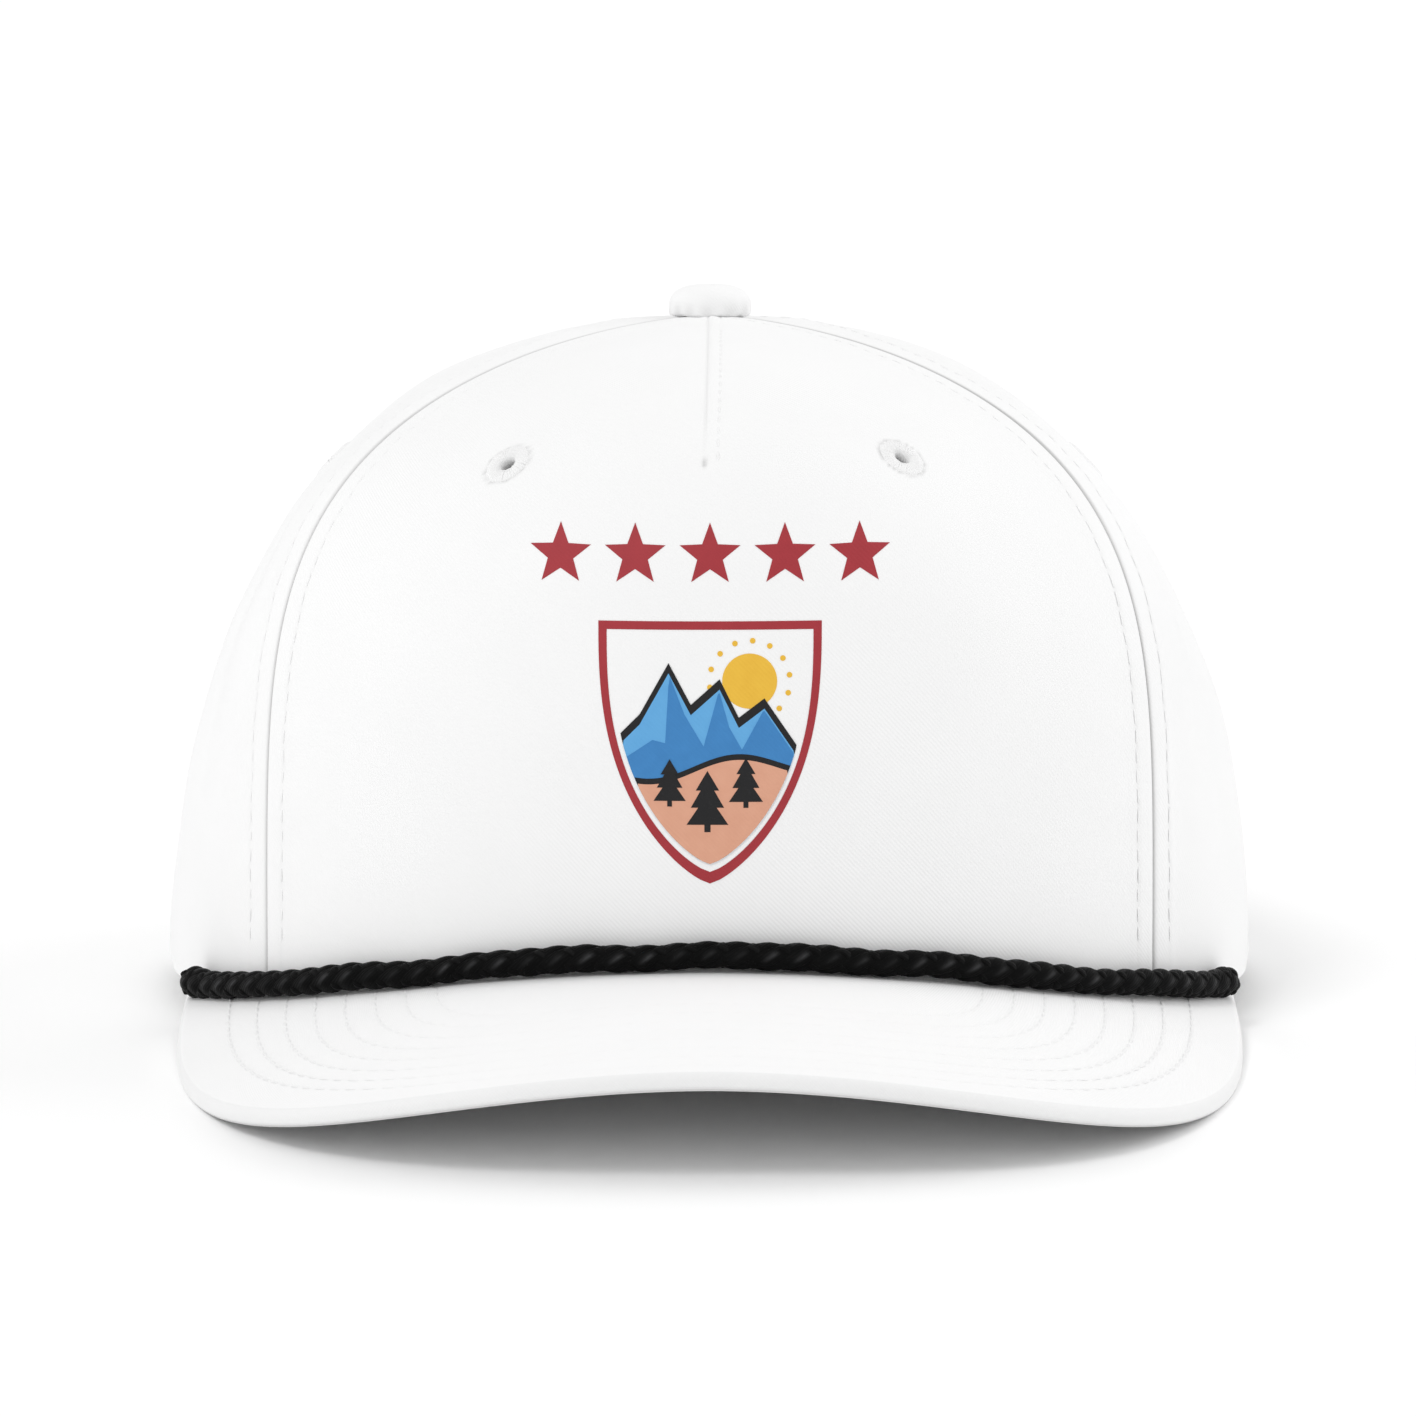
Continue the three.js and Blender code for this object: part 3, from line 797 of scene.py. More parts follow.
# One panel: its outside with seams, folds and stitching lines, its inside 2 mm further in, and the
# holes of its eyelets.
def crownPanel(node):
    panel = panels[node]
    low, high = panel["seams"]
    holes = [(turn, up) for place, turn, up in eyelet["places"].values() if place == node]
    places = [(low, *crowding["seam"]), (high, *crowding["seam"])]
    if node == "front_panel":
        places.append((0, *crowding["dart"]))
    places += [(turn, *crowding["eyelet"]) for turn, _ in holes]
    angle = gatheredAngles(low, high, panel["columns"], places)
    if "back" in node:
        angle = backColumns(panel["columns"])
        angle = angle if low > 0 else -angle[::-1]
    start, arched = startRises(node, angle)
    shares = closerAtEnds(panel["rows"], 0.35)[:, None]
    rise = evenRises(angle, start, shares)
    form, shade = clothForm(node, angle, rise)
    normal = crownNormal(angle, rise)
    surface = crownPoint(angle, rise)
    outside = surface + normal * form[..., None]
    inside = surface - normal * crown["wall"]
    bottom = hemHeight(angle, inside[0, :, 0], inside[0, :, 1])
    inside[0, :, 2] = np.where(arched, outside[0, :, 2], bottom)
    layout = np.stack([flatLayout(outside), flatLayout(inside)])
    kept = np.ones((panel["rows"], len(angle) - 1), bool)
    for turn, up in holes:
        cell = (outside[:-1, :-1] + outside[1:, 1:]) / 2
        bored = fromEyelet(cell, turn, up)[1] < eyelet["hole"]
        kept &= ~bored
        around = np.pad(bored.astype(int), 1)
        count = around[:-1, :-1] + around[1:, :-1] + around[:-1, 1:] + around[1:, 1:]
        for grid in (outside, inside):
            away, reach = fromEyelet(grid, turn, up)
            moved = grid + away * (eyelet["hole"] / np.maximum(reach, 1e-6) - 1)[..., None]
            grid[:] = np.where(((count > 0) & (count < 4))[..., None], moved, grid)
    points = np.stack([outside, inside])
    # Painted shade on the outside face only.
    marks = {"paintedShade": np.stack([shade, np.zeros_like(shade)])}
    first, *others = node.split("_")
    name = first + "".join(word.capitalize() for word in others) + "Twill"
    addPiece(name, points, clothFaces(kept), twill, [node], spread=layout, crisp=65, marks=marks)


for node in panels:
    crownPanel(node)


visorSewing = {
    "rows": 8,
    # of the first row, and what is added for each row outwards
    "halfWidth": (42.9, 4.9),
    "front": (24.2, 5.94),
    "squareness": (3.8, -0.16),
    "behind": 7.7,  # how far the ends of a row reach under the crown
    "pitch": 4.1,
    "groove": 0.04,
    "grooveWidth": 0.75,
    "quilt": 0.05,
    "quiltWidth": 2,
    # painted shade at each needle hole
    "holeShade": 0.04,
}

visorEdge = {
    "radius": 1.25,
    "share": 0.22,  # of the board's width at most, at its corners
    "squareness": 2.5,
    "fold": 0.16,  # how deep the lower cloth's edge lies behind the upper one's
    "foldLevel": -1.15,  # from the board's middle
}


# One row's half width, its front, its squareness and the line that it starts from.
def visorRow(number):
    pairs = (visorSewing[key] for key in ("halfWidth", "front", "squareness"))
    wide, front, power = (first + step * number for first, step in pairs)
    crownEdge = crown["halfLength"] * (1 - math.sqrt(1 - (wide / crown["halfWidth"]) ** 2))
    return wide, front, power, -crownEdge - visorSewing["behind"]


# A dense line along one row, from its left end to its right end, in plan.
def visorRowLine(number):
    wide, front, power, start = visorRow(number)
    turn = np.linspace(-np.pi / 2, np.pi / 2, 1200)
    x = wide * np.sign(turn) * np.abs(np.sin(turn)) ** (2 / power)
    forward = start + (front - start) * np.cos(turn) ** (2 / power)
    y = -(crown["halfLength"] + forward)
    length = lengthAlong(np.stack([x, y], -1))
    return x, y, turn, length - length[-1] / 2


# How the visor's cloth is drawn in by its sewing: a groove along each row, deeper at the needle
# holes, and soft quilting between the rows. The second value is painted shade at the needle holes.
def visorForm(x, y):
    forward = -(y + crown["halfLength"])
    form, shade = np.zeros_like(x), np.zeros_like(x)
    for number in range(visorSewing["rows"]):
        wide, front, power, start = visorRow(number)
        across = np.abs(x) / wide
        ahead = np.maximum(forward - start, 0) / (front - start)
        distance = outsideEllipse(across, ahead, wide, front - start, power)
        _, _, turns, lengths = visorRowLine(number)
        turn = np.arctan2(across ** (power / 2), ahead ** (power / 2)) * np.sign(x)
        along = np.interp(turn, turns, lengths)
        needle = (1 + np.cos(2 * np.pi * along / visorSewing["pitch"])) / 2
        near = bell(distance, visorSewing["grooveWidth"])
        form = form - visorSewing["groove"] * (0.45 + 0.55 * needle**2) * near
        form = form - visorSewing["quilt"] * bell(distance, visorSewing["quiltWidth"])
        shade = np.maximum(shade, visorSewing["holeShade"] * needle**3 * bell(distance, 0.5))
    return form, shade


# The visor: a board in two layers of cloth. Its grid goes from the crown out over the top, round the
# edge and back underneath, for each step along the outline.
def visorBoard():
    outline = np.stack(visorOutline(np.linspace(-1, 1, 6001)), -1)
    length = lengthAlong(outline)
    steps = np.linspace(0, length[-1], 331)
    outer = tableAt(steps, length, outline)
    turn = np.radians(visor["end"]) * np.linspace(-1, 1, len(steps))
    across, ahead = crown["halfWidth"] - crown["wall"], crown["halfLength"] - crown["wall"]
    inner = np.stack([across * np.sin(turn), -ahead * np.cos(turn)], -1)
    width = np.linalg.norm(outer - inner, axis=-1)[:, None]
    edge = np.minimum(visorEdge["radius"], visorEdge["share"] * width)
    squared = 2 / visorEdge["squareness"]
    bend = np.linspace(np.pi / 2, -np.pi / 2, 17)
    rim = edge * (1 - np.cos(bend) ** squared)
    flat = mixed(width, edge, closerAtEnds(96, 0.2)[None, :-1])
    flatUnder = mixed(edge, width, closerAtEnds(56, 0.2)[None, 1:])
    inset = np.concatenate([flat, rim, flatUnder], 1)
    up = np.concatenate([
        np.ones(flat.shape[1]),
        np.sign(bend) * np.abs(np.sin(bend)) ** squared,
        -np.ones(flatUnder.shape[1]),
    ])
    plan = outer[:, None] + (inner - outer)[:, None] * (inset / width)[..., None]
    form, shade = visorForm(plan[..., 0], plan[..., 1])
    loose = eased(inset, 0.8, 4)
    half = visor["thickness"] / 2
    fold = visorEdge["fold"] * bell(up * half - visorEdge["foldLevel"], 0.25) * (inset < edge * 1.01)
    plan = plan - unit(outer - inner)[:, None] * fold[..., None]
    height = visorMiddle(plan[..., 0], plan[..., 1]) + up * half + np.sign(up) * form * loose
    points = np.concatenate([plan, height[..., None]], -1)
    # Painted shade: a light grey band over the upper part of the front edge and a darker line at the
    # lower cloth's fold, for the shade on the edge's face and in the fold.
    paintedEdgeShade = 0.1 * (inset < 0.6 * edge) + 0.3 * (fold > 0) * bell(up * half + 1.2, 0.2)
    across = np.cumsum(np.linalg.norm(np.diff(points, axis=1, prepend=points[:, :1]), axis=-1), 1)
    layout = np.stack(np.broadcast_arrays(steps[:, None], across), -1)
    mesh, faces = closedTube(points)
    addPiece(
        "visorTwill",
        mesh,
        [part[:, ::-1] for part in faces],
        twill,
        ["visor"],
        spread=withEnds(layout.reshape(-1, 2)),
        crisp=60,
        marks={"paintedShade": withEnds((shade * loose + paintedEdgeShade).ravel())},
    )


visorBoard()


rope = {
    "end": 66,  # degrees round from the front
    "radius": 2.2,
    "sunk": 0.15,  # how far it presses into the corner
    "lift": 0.25,
    "waver": ((0.16, 5.3, 0.6), (0.12, 2.9, 2)),  # height, length and start of its small waves
    "pitch": 19,  # one turn of a strand
    "endPitch": 9,  # near the ends, where the plait is drawn tight
    "endLength": 9,
    "tip": 1.6,  # how long its rounded ends are
    "strands": 4,  # each way round
    "steps": 530,
    # Thick strands that run up to the right and thin ones that bind them. The layer is where their
    # middles lie, and the weave is how far they go out and in as they cross. The last value is how
    # strong the painted highlight on their crests is.
    "thick": {
        "layer": 1.16,
        "weave": 0.14,
        "width": 2.75,
        "height": 1.85,
        "around": 16,
        "highlightShare": 0.9,
    },
    "thin": {
        "layer": 1.3,
        "weave": -0.5,
        "width": 1.5,
        "height": 0.95,
        "around": 8,
        "highlightShare": 0.15,
    },
}


# The rope's middle line in the corner between the crown and the visor, even steps apart, with the
# directions out of the crown and up, and how far along it each point lies.
def ropeLine():
    reach = rope["radius"] + crown["gap"] - rope["sunk"]
    turn = np.radians(np.linspace(-rope["end"], rope["end"], 2001))
    x = (crown["halfWidth"] + reach) * np.sin(turn)
    y = -(crown["halfLength"] + reach) * np.cos(turn)
    uneven = sum(high * np.sin(x / wide + start) for high, wide, start in rope["waver"])
    z = visorMiddle(x, y) + visor["thickness"] / 2 + reach + rope["lift"] + uneven
    line = np.stack([x, y, z], -1)
    length = lengthAlong(line)
    steps = np.linspace(0, length[-1], rope["steps"])
    line = tableAt(steps, length, line)
    ahead = unit(np.gradient(line, axis=0))
    up = unit(np.array([0, 0, 1.0]) - ahead * ahead[:, 2:])
    return line, unit(np.cross(ahead, up)), up, steps


# The plait: four thick strands run one way round and four thin ones the other way. Each goes out and
# in four times a turn, so that it passes over one crossing strand and under the next.
def ropePlait():
    line, out, up, along = ropeLine()
    fromEnd = np.minimum(along, along[-1] - along)
    pitch = mixed(rope["endPitch"], rope["pitch"], eased(fromEnd, 0, rope["endLength"]))
    phase = 2 * np.pi * np.concatenate([[0], np.cumsum(np.diff(along) / pitch[1:])])
    swell = 1 + 0.2 * (1 - eased(fromEnd, 3, 9)) + 0.03 * np.sin(along / 6.1)
    short = np.clip(1 - fromEnd / rope["tip"], 0, 1)
    close = np.sqrt(1 - short**2)
    meshes, layouts, paintedHighlights = [], [], []
    for way, strand in ((1, rope["thick"]), (-1, rope["thin"])):
        ring = np.linspace(0, 2 * np.pi, strand["around"], endpoint=False)
        for number in range(rope["strands"]):
            turn = way * phase + number * 2 * np.pi / rope["strands"]
            outIn = strand["weave"] * np.cos(4 * phase)
            radius = (strand["layer"] + outIn) * swell * (0.35 + 0.65 * close)
            spoke = out * np.cos(turn)[:, None] + up * np.sin(turn)[:, None]
            middle = line + spoke * radius[:, None]
            side = unit(np.cross(spoke, unit(np.gradient(middle, axis=0))))
            size = (swell * (0.3 + 0.7 * close) / 2)[:, None]
            wide = strand["width"] * size * np.cos(ring)
            high = strand["height"] * size * np.sin(ring)
            rings = middle[:, None] + side[:, None] * wide[..., None]
            meshes.append(closedTube(rings + spoke[:, None] * high[..., None]))
            across = ring / (2 * np.pi) * strand["width"] * 2.5
            flat = np.stack(np.broadcast_arrays(across[None], along[:, None]), -1)
            layouts.append(withEnds(flat.reshape(-1, 2)))
            # Painted highlight: paler colour on a strand's crest where it lies on top, on the rope's
            # upper side, fading up and down along it.
            over = eased(np.sign(strand["weave"]) * np.cos(4 * phase), -0.7, 0.7)
            over = over * eased(np.sin(turn), -0.5, 0.3)
            over = over * (0.6 + 0.4 * np.sin(along / 11 + number * 2.1))
            crest = bell(np.cos(ring) - 0.1, 0.22) * (np.sin(ring) > 0)
            paintedHighlights.append(withEnds((strand["highlightShare"] * over[:, None] * crest).ravel()))
    points, faces = joined(meshes)
    marks = {"float": np.concatenate(paintedHighlights)}
    spread = np.concatenate(layouts)
    yarn = "plaitedPolyesterYarn"
    addPiece("braidedRope", points, faces, yarn, ["rope"], spread=spread, crisp=180, marks=marks)


ropePlait()


# Points at a radius and height round an axis.
def aroundAxis(seat, radius, height, turn):
    centre, axis, right, upper = seat
    spoke = right * np.cos(turn)[..., None] + upper * np.sin(turn)[..., None]
    return centre + spoke * radius[..., None] + axis * np.asarray(height)[..., None]


# Points at a radius and a turn round an eyelet, at a height over the cloth that lies there.
def aroundEyelet(place, radius, height, turn):
    node, angle, up = eyelet["places"][place]
    rise = riseAt(angle, up)
    centre, axis = crownPoint(angle, rise), crownNormal(angle, rise)
    right = unit(np.cross([0, 0, 1], axis))
    upward = np.cross(axis, right) * eyelet["tall"]
    spoke = right * np.cos(turn)[..., None] + upward * np.sin(turn)[..., None]
    flat = spoke * radius[..., None]
    perDegree = crownPoint(angle + 0.5, rise) - crownPoint(angle - 0.5, rise)
    perRise = (crownPoint(angle, rise + 0.001) - crownPoint(angle, rise - 0.001)) / 0.002
    steps = flat @ np.linalg.pinv(np.stack([perDegree, perRise]))
    ground = clothPoint(node, angle + steps[..., 0], rise + steps[..., 1])
    return centre + flat + axis * ((ground - centre) @ axis + height)[..., None]


# A sewn eyelet: satin stitches lie side by side from the hole to the ring's edge, some a little
# longer than others, on both faces of the cloth and down through it.
def sewnEyelet(place, seed):
    threads, perThread = eyelet["threads"], 5
    chance = np.random.default_rng(seed)
    longer = np.repeat(chance.normal(0, 0.05, threads), perThread)
    proud = np.repeat(chance.normal(0, 0.03, threads), perThread)
    turn = np.linspace(0, 2 * np.pi, threads * perThread, endpoint=False)
    ridge = 0.14 * np.abs(np.sin(turn * threads / 2)) + proud
    edge, bore, barrel = eyelet["radius"], eyelet["bore"], eyelet["barrel"]
    # radius, height over the cloth, share of the thread's ridge, share of its longer end
    profile = [
        (barrel, -1.7, 0, 0),
        (barrel, -0.4, 0, 0),
        (edge - 0.1, -0.4, 0, 1),
        (edge, -0.1, 0.3, 1),
        (edge - 0.1, 0.1, 0.6, 1),
        (edge - 0.4, 0.2, 1, 0.8),
        (edge - 0.8, 0.26, 1, 0.5),
        (2.75, 0.29, 1, 0),
        (2.4, 0.28, 1, 0),
        (2.0, 0.22, 1, 0),
        (1.6, 0.1, 1, 0),
        (bore + 0.2, -0.12, 0.8, 0),
        (bore + 0.05, -0.4, 0.5, 0),
        (bore, -0.8, 0.3, 0),
        (bore, -1.4, 0.3, 0),
        (bore + 0.2, -1.95, 0.8, 0),
        (1.7, -2.2, 1, 0),
        (2.3, -2.35, 1, 0),
        (3.0, -2.3, 1, 0.5),
        (edge - 0.3, -2.1, 1, 1),
        (edge, -1.9, 0.3, 1),
    ]
    radius, height, share, end = np.array(profile).T[..., None]
    outer = radius + end * longer
    above = np.where(height > -1, 1, -1)
    points = aroundEyelet(place, outer, height + above * share * ridge, turn[None] + 0 * outer)
    faces = gridFaces(*points.shape[:2], closeRows=True, closeColumns=True)
    layout = np.stack(np.broadcast_arrays(turn[None] * 2.7, radius), -1)
    side, seen, _ = place.split("_")
    name = side + seen.capitalize() + "EyeletStitching"
    addPiece(name, points, [faces], sewingThread, [place], spread=layout, crisp=180)


for seed, place in enumerate(eyelet["places"]):
    sewnEyelet(place, seed + 11)


button = {
    "radius": 6.9,
    "height": 5,
    "squareness": 2.6,
    "shank": 2.4,
    "plate": 5,
    "gathers": 13,
}


# The button: a dome covered in twill that is gathered under its edge, with the shank that goes
# through the crown and the plate inside.
def coveredButton():
    turn = np.linspace(0, 2 * np.pi, 208, endpoint=False)
    power = 2 / button["squareness"]
    gap = crown["gap"]
    under = -(crown["wall"] + gap + 0.3)
    bend = np.linspace(-0.5, np.pi / 2, 34)[:-1]
    radius = button["radius"] * np.abs(np.cos(bend)) ** power
    height = gap + 1.1 + (button["height"] - 1.1) * np.sign(bend) * np.abs(np.sin(bend)) ** power
    height = np.maximum(height, gap + 0.35 * (height - gap - 1.1) + 0.4)
    plate, shank, edge = button["plate"], button["shank"], button["radius"]
    rings = [
        (0.02, under - 1),
        (plate - 0.4, under - 1),
        (plate, under - 0.7),
        (plate, under - 0.2),
        (plate - 0.3, under),
        (shank, under),
        (shank, gap + 0.1),
        (edge - 2.2, gap - 0.15),
        (edge - 0.9, gap - 0.1),
        *zip(radius, height),
    ]
    radius, height = np.array(rings).T[..., None]
    low = bell(height - gap - 0.2, 1.3) * eased(radius, 4.5, 6.3)
    fold = np.sin(button["gathers"] * turn + 1.1 * np.sin(3 * turn + 0.5))
    radius = radius + low * (0.06 * fold - 0.04)
    height = height + low * (0.1 * fold + 0.12 * np.sin(5 * turn + 1))
    height = height + 0.06 * np.sin(2 * turn + 0.8) * eased(height, 3, 5)
    right, ahead, up = np.eye(3)
    seat = (crown["height"] * up, up, right, ahead)
    points = aroundAxis(seat, radius, height, turn[None] + 0 * height)
    mesh, faces = closedTube(points)
    layout = withEnds(np.stack([points[..., 0], points[..., 1] + height], -1).reshape(-1, 2))
    # Painted shade in the gathers under the dome's edge.
    marks = {"paintedShade": withEnds((0.15 * low * (0.5 - 0.5 * fold)).ravel())}
    name = "coveredButtonTwill"
    addPiece(name, mesh, faces, twill, ["top_button"], spread=layout, crisp=60, marks=marks)


coveredButton()


thread = {
    "width": 0.5,
    "height": 0.14,  # of the flattened strand
    "length": 2.55,
    "visorLength": 3.15,
    "visorHeight": 0.08,
    "fromButton": 7.5,
    "looseSeam": 0.035,  # how much deeper the stitches lie beside the left front seam
}


# Stitches as one mesh: each is a short strand, thickest in its middle, whose ends go down into the
# cloth. They are placed by their middles, the way along the row and the way out of the cloth.
def stitches(middle, ahead, out, seed, length=thread["length"], height=thread["height"]):
    chance = np.random.default_rng(seed)
    count = len(middle)
    side = unit(np.cross(out, ahead))
    ahead = unit(ahead + side * chance.normal(0, 0.035, (count, 1)))
    side = unit(np.cross(out, ahead))
    length = length * (1 + chance.normal(0, 0.035, (count, 1)))
    along = np.array([-1, -0.88, -0.55, 0, 0.55, 0.88, 1]) / 2
    thick = np.array([0.3, 0.7, 0.97, 1, 0.97, 0.7, 0.3])
    lift = np.array([-0.6, -0.2, 0.2, 0.36, 0.2, -0.2, -0.6]) * height
    around = np.linspace(0, 2 * np.pi, 8, endpoint=False)
    centre = middle[:, None] + ahead[:, None] * (along * length)[..., None]
    centre = centre + out[:, None] * lift[:, None]
    across = np.cos(around) * thick[:, None] * thread["width"] / 2
    upward = np.sin(around) * thick[:, None] * height / 2
    points = centre[:, :, None] + side[:, None, None] * across[..., None]
    points = points + out[:, None, None] * upward[..., None]
    rings, columns = len(along), len(around)
    one = gridFaces(rings, columns, closeColumns=True)
    ends = np.array([[0, 3, 2, 1], [0, 5, 4, 3], [0, 7, 6, 5]])
    ends = np.concatenate([ends, ends[:, ::-1] + (rings - 1) * columns])
    each = np.concatenate([one, ends])
    faces = (each[None] + (np.arange(count) * rings * columns)[:, None, None]).reshape(-1, 4)
    flat = np.broadcast_arrays(around * thread["width"] / 2, (along * length)[..., None])
    return points.reshape(-1, 3), [faces], np.stack(flat, -1).reshape(-1, 2)


# Rows of stitches as one piece.
def addStitching(name, rows, crisp=180):
    points, faces = joined([row[:2] for row in rows])
    flat = np.concatenate([row[2] for row in rows])
    addPiece(name, points, faces, sewingThread, spread=flat, crisp=crisp)


# Places at even steps along a line of points, half a step from its start, as indices into the line.
def evenPlaces(line, pitch):
    length = lengthAlong(line)
    places = np.arange(pitch / 2, length[-1] - pitch / 2, pitch)
    return np.interp(places, length, np.arange(len(line)))


# Stitches over a line of angles and rises on one panel, at the given fractional indices.
def clothStitches(node, angle, rise, places, seed, deeper=0):
    index = np.arange(len(angle))
    turned = [np.interp(places + step, index, angle) for step in (-0.5, 0, 0.5)]
    risen = [np.interp(places + step, index, rise) for step in (-0.5, 0, 0.5)]
    before, middle, after = (clothPoint(node, t, r) for t, r in zip(turned, risen))
    out = crownNormal(turned[1], risen[1])
    lift = 0.02 - deeper - 0.06 * eased(middle[:, 2:], 60, 95)  # a little deeper higher up
    return stitches(middle + lift * out, unit(after - before), out, seed)


# The row beside one seam, from the hem, or from above the braid or the opening, up to the button.
def seamRow(node, seamAngle, seed):
    panel = panels[node]
    rise = evenRises(seamAngle, 0.0, np.linspace(0, 1, 900))
    inward = 1 if seamAngle == panel["seams"][0] else -1
    offset = rowOffset(panel, seamAngle, rise)
    angle = seamAngle + inward * offset / stretch(seamAngle, rise)
    point = crownPoint(angle, rise)
    x, y, _ = rimPoint(angle)
    above = point[:, 2] - hemHeight(angle, x, y)
    free = (np.hypot(point[:, 0], point[:, 1]) > thread["fromButton"]) & (above > 1.2)
    if abs(seamAngle) < rope["end"]:
        free &= above > 2 * rope["radius"] + 0.6
    if abs(seamAngle) == 180:
        free &= openingDistance(point) > bindingEdge["band"] + 1
    length = seamLength(seamAngle, rise)
    places = (np.arange(int(length[-1] / seam["pitch"])) + 0.5) * seam["pitch"]
    places = np.interp(places, length, np.arange(len(rise)))
    places = places[free[np.round(places).astype(int)]]
    deeper = thread["looseSeam"] if seamAngle == -crown["frontSeam"] else 0
    return clothStitches(node, angle, rise, places, seed, deeper)


# The row above the hem of a side or back panel, behind the visor and clear of the opening's edge.
def hemRow(node, seed):
    low, high = panels[node]["seams"]
    angle = np.linspace(low + 1, high - 1, 1500)
    x, y, _ = rimPoint(angle)
    rise = riseAt(angle, hemHeight(angle, x, y) + hem["row"])
    point = crownPoint(angle, rise)
    free = (np.abs(angle) > 84) & (openingDistance(point) > bindingEdge["row"] + 1.5)
    angle, rise, point = angle[free], rise[free], point[free]
    return clothStitches(node, angle, rise, evenPlaces(point, seam["pitch"]), seed)


# Angle and rise of the crown's point that is seen at x and z from the front, or from the back.
def spotAt(x, z, back=False):
    angle = np.degrees(np.arcsin(np.clip(np.asarray(x, float) / crown["halfWidth"], -1, 1)))
    for _ in range(30):
        turned = 180 - angle if back else angle
        rise = riseAt(turned, z)
        reachPower, risePower = slicePowers(turned)
        reach = (1 - np.minimum(rise, 1) ** risePower) ** (1 / reachPower)
        across = x / (crown["halfWidth"] * np.maximum(reach, 0.05))
        angle = np.degrees(np.arcsin(np.clip(across, -1, 1)))
    turned = 180 - angle if back else angle
    return turned, riseAt(turned, z)


# The row over the opening's arch on one back panel, at an even distance outside its squared ellipse.
def archRow(node, seed):
    power = opening["squareness"]
    turn = np.linspace(0.03, np.pi / 2 - 0.03, 700)
    across = opening["halfWidth"] * np.cos(turn) ** (2 / power)
    up = opening["height"] * np.sin(turn) ** (2 / power)
    slope = np.stack([
        (across / opening["halfWidth"]) ** (power - 1) / opening["halfWidth"],
        (up / opening["height"]) ** (power - 1) / opening["height"],
    ], -1)
    line = np.stack([across, up], -1) + unit(slope) * bindingEdge["row"]
    line = line[(line[:, 1] > 2) & (line[:, 0] > 0.8)]
    angle, rise = spotAt(line[:, 0], line[:, 1], back=True)
    angle = angle if panels[node]["seams"][0] > 0 else -angle
    point = crownPoint(angle, rise)
    return clothStitches(node, angle, rise, evenPlaces(point, seam["pitch"]), seed)


# The row beside the dart, from its lower end to the button.
def dartRow(seed):
    rise = riseAt(0, np.linspace(dart["bottom"] + 1.5, crown["height"] - 1, 500))
    angle = dart["row"] / stretch(0, rise) + dartAngle(rise)
    point = crownPoint(angle, rise)
    far = np.hypot(point[:, 0], point[:, 1]) > thread["fromButton"]
    angle, rise, point = angle[far], rise[far], point[far]
    return clothStitches("front_panel", angle, rise, evenPlaces(point, seam["pitch"]), seed)


# All rows of stitches on the crown, each with a random seed of its own.
def crownSewing():
    rows = [dartRow(1)]
    for number, (node, panel) in enumerate(panels.items()):
        rows += [seamRow(node, side, 10 * number + k) for k, side in enumerate(panel["seams"])]
        if node != "front_panel":
            rows.append(hemRow(node, 10 * number + 5))
        if "back" in node:
            rows.append(archRow(node, 10 * number + 6))
    addStitching("crownStitching", rows)


crownSewing()


# The way up out of the visor's board.
def visorNormal(x, y):
    across = (visorMiddle(x + 0.2, y) - visorMiddle(x - 0.2, y)) / 0.4
    back = (visorMiddle(x, y + 0.2) - visorMiddle(x, y - 0.2)) / 0.4
    return unit(np.stack([-across, -back, np.ones_like(x)], -1))


# The rows of stitches on the visor's upper or lower face, as far back as the crown's front.
def visorStitches(name, up, seed):
    pitch = visorSewing["pitch"]
    spots = []
    for number in range(visorSewing["rows"]):
        x, y, _, length = visorRowLine(number)
        count = int(length[-1] / pitch - 1)
        places = (np.arange(-count, count) + 0.5) * pitch + np.array([[-0.6], [0], [0.6]])
        x, y = np.interp(places, length, x), np.interp(places, length, y)
        spots.append(np.stack([x, y, visorMiddle(x, y)], -1))
    before, middle, after = np.concatenate(spots, 1)
    reach = np.hypot(middle[:, 0] / crown["halfWidth"], middle[:, 1] / crown["halfLength"])
    kept = (reach > 1.008) & (middle[:, 1] < 0)
    out = visorNormal(middle[:, 0], middle[:, 1]) * up
    middle = middle + out * (visor["thickness"] / 2 - 0.13)
    size = thread["visorLength"], thread["visorHeight"]
    row = stitches(middle[kept], unit(after - before)[kept], out[kept], seed, *size)
    addStitching(name, [row], crisp=25)


visorStitches("visorTopStitching", 1, 3)
visorStitches("visorUnderStitching", -1, 4)


# Points inside the crown, at a height over the rim plane and a depth in from the cloth's outside.
def insidePoint(angle, height, inset):
    rise = riseAt(angle, height)
    return crownPoint(angle, rise) - crownNormal(angle, rise) * np.asarray(inset)[..., None]


band = {
    "thickness": 1.5,
    "inset": 2.6,
    "step": 1.7,  # further in at its ends, which lie over the ends of the strap
    "height": 32,
    "hang": 2.3,  # how far it reaches below the hem over the visor
    "clear": 0.8,  # how far it stays above the hem elsewhere
    "end": 180 - opening["reach"] - 0.5,  # degrees round from the front
    "stepFrom": 180 - opening["reach"] - 12,
    "rows": (2.6, 28.6),  # heights of its two rows of stitches over its lower edge
    "columns": 420,
}


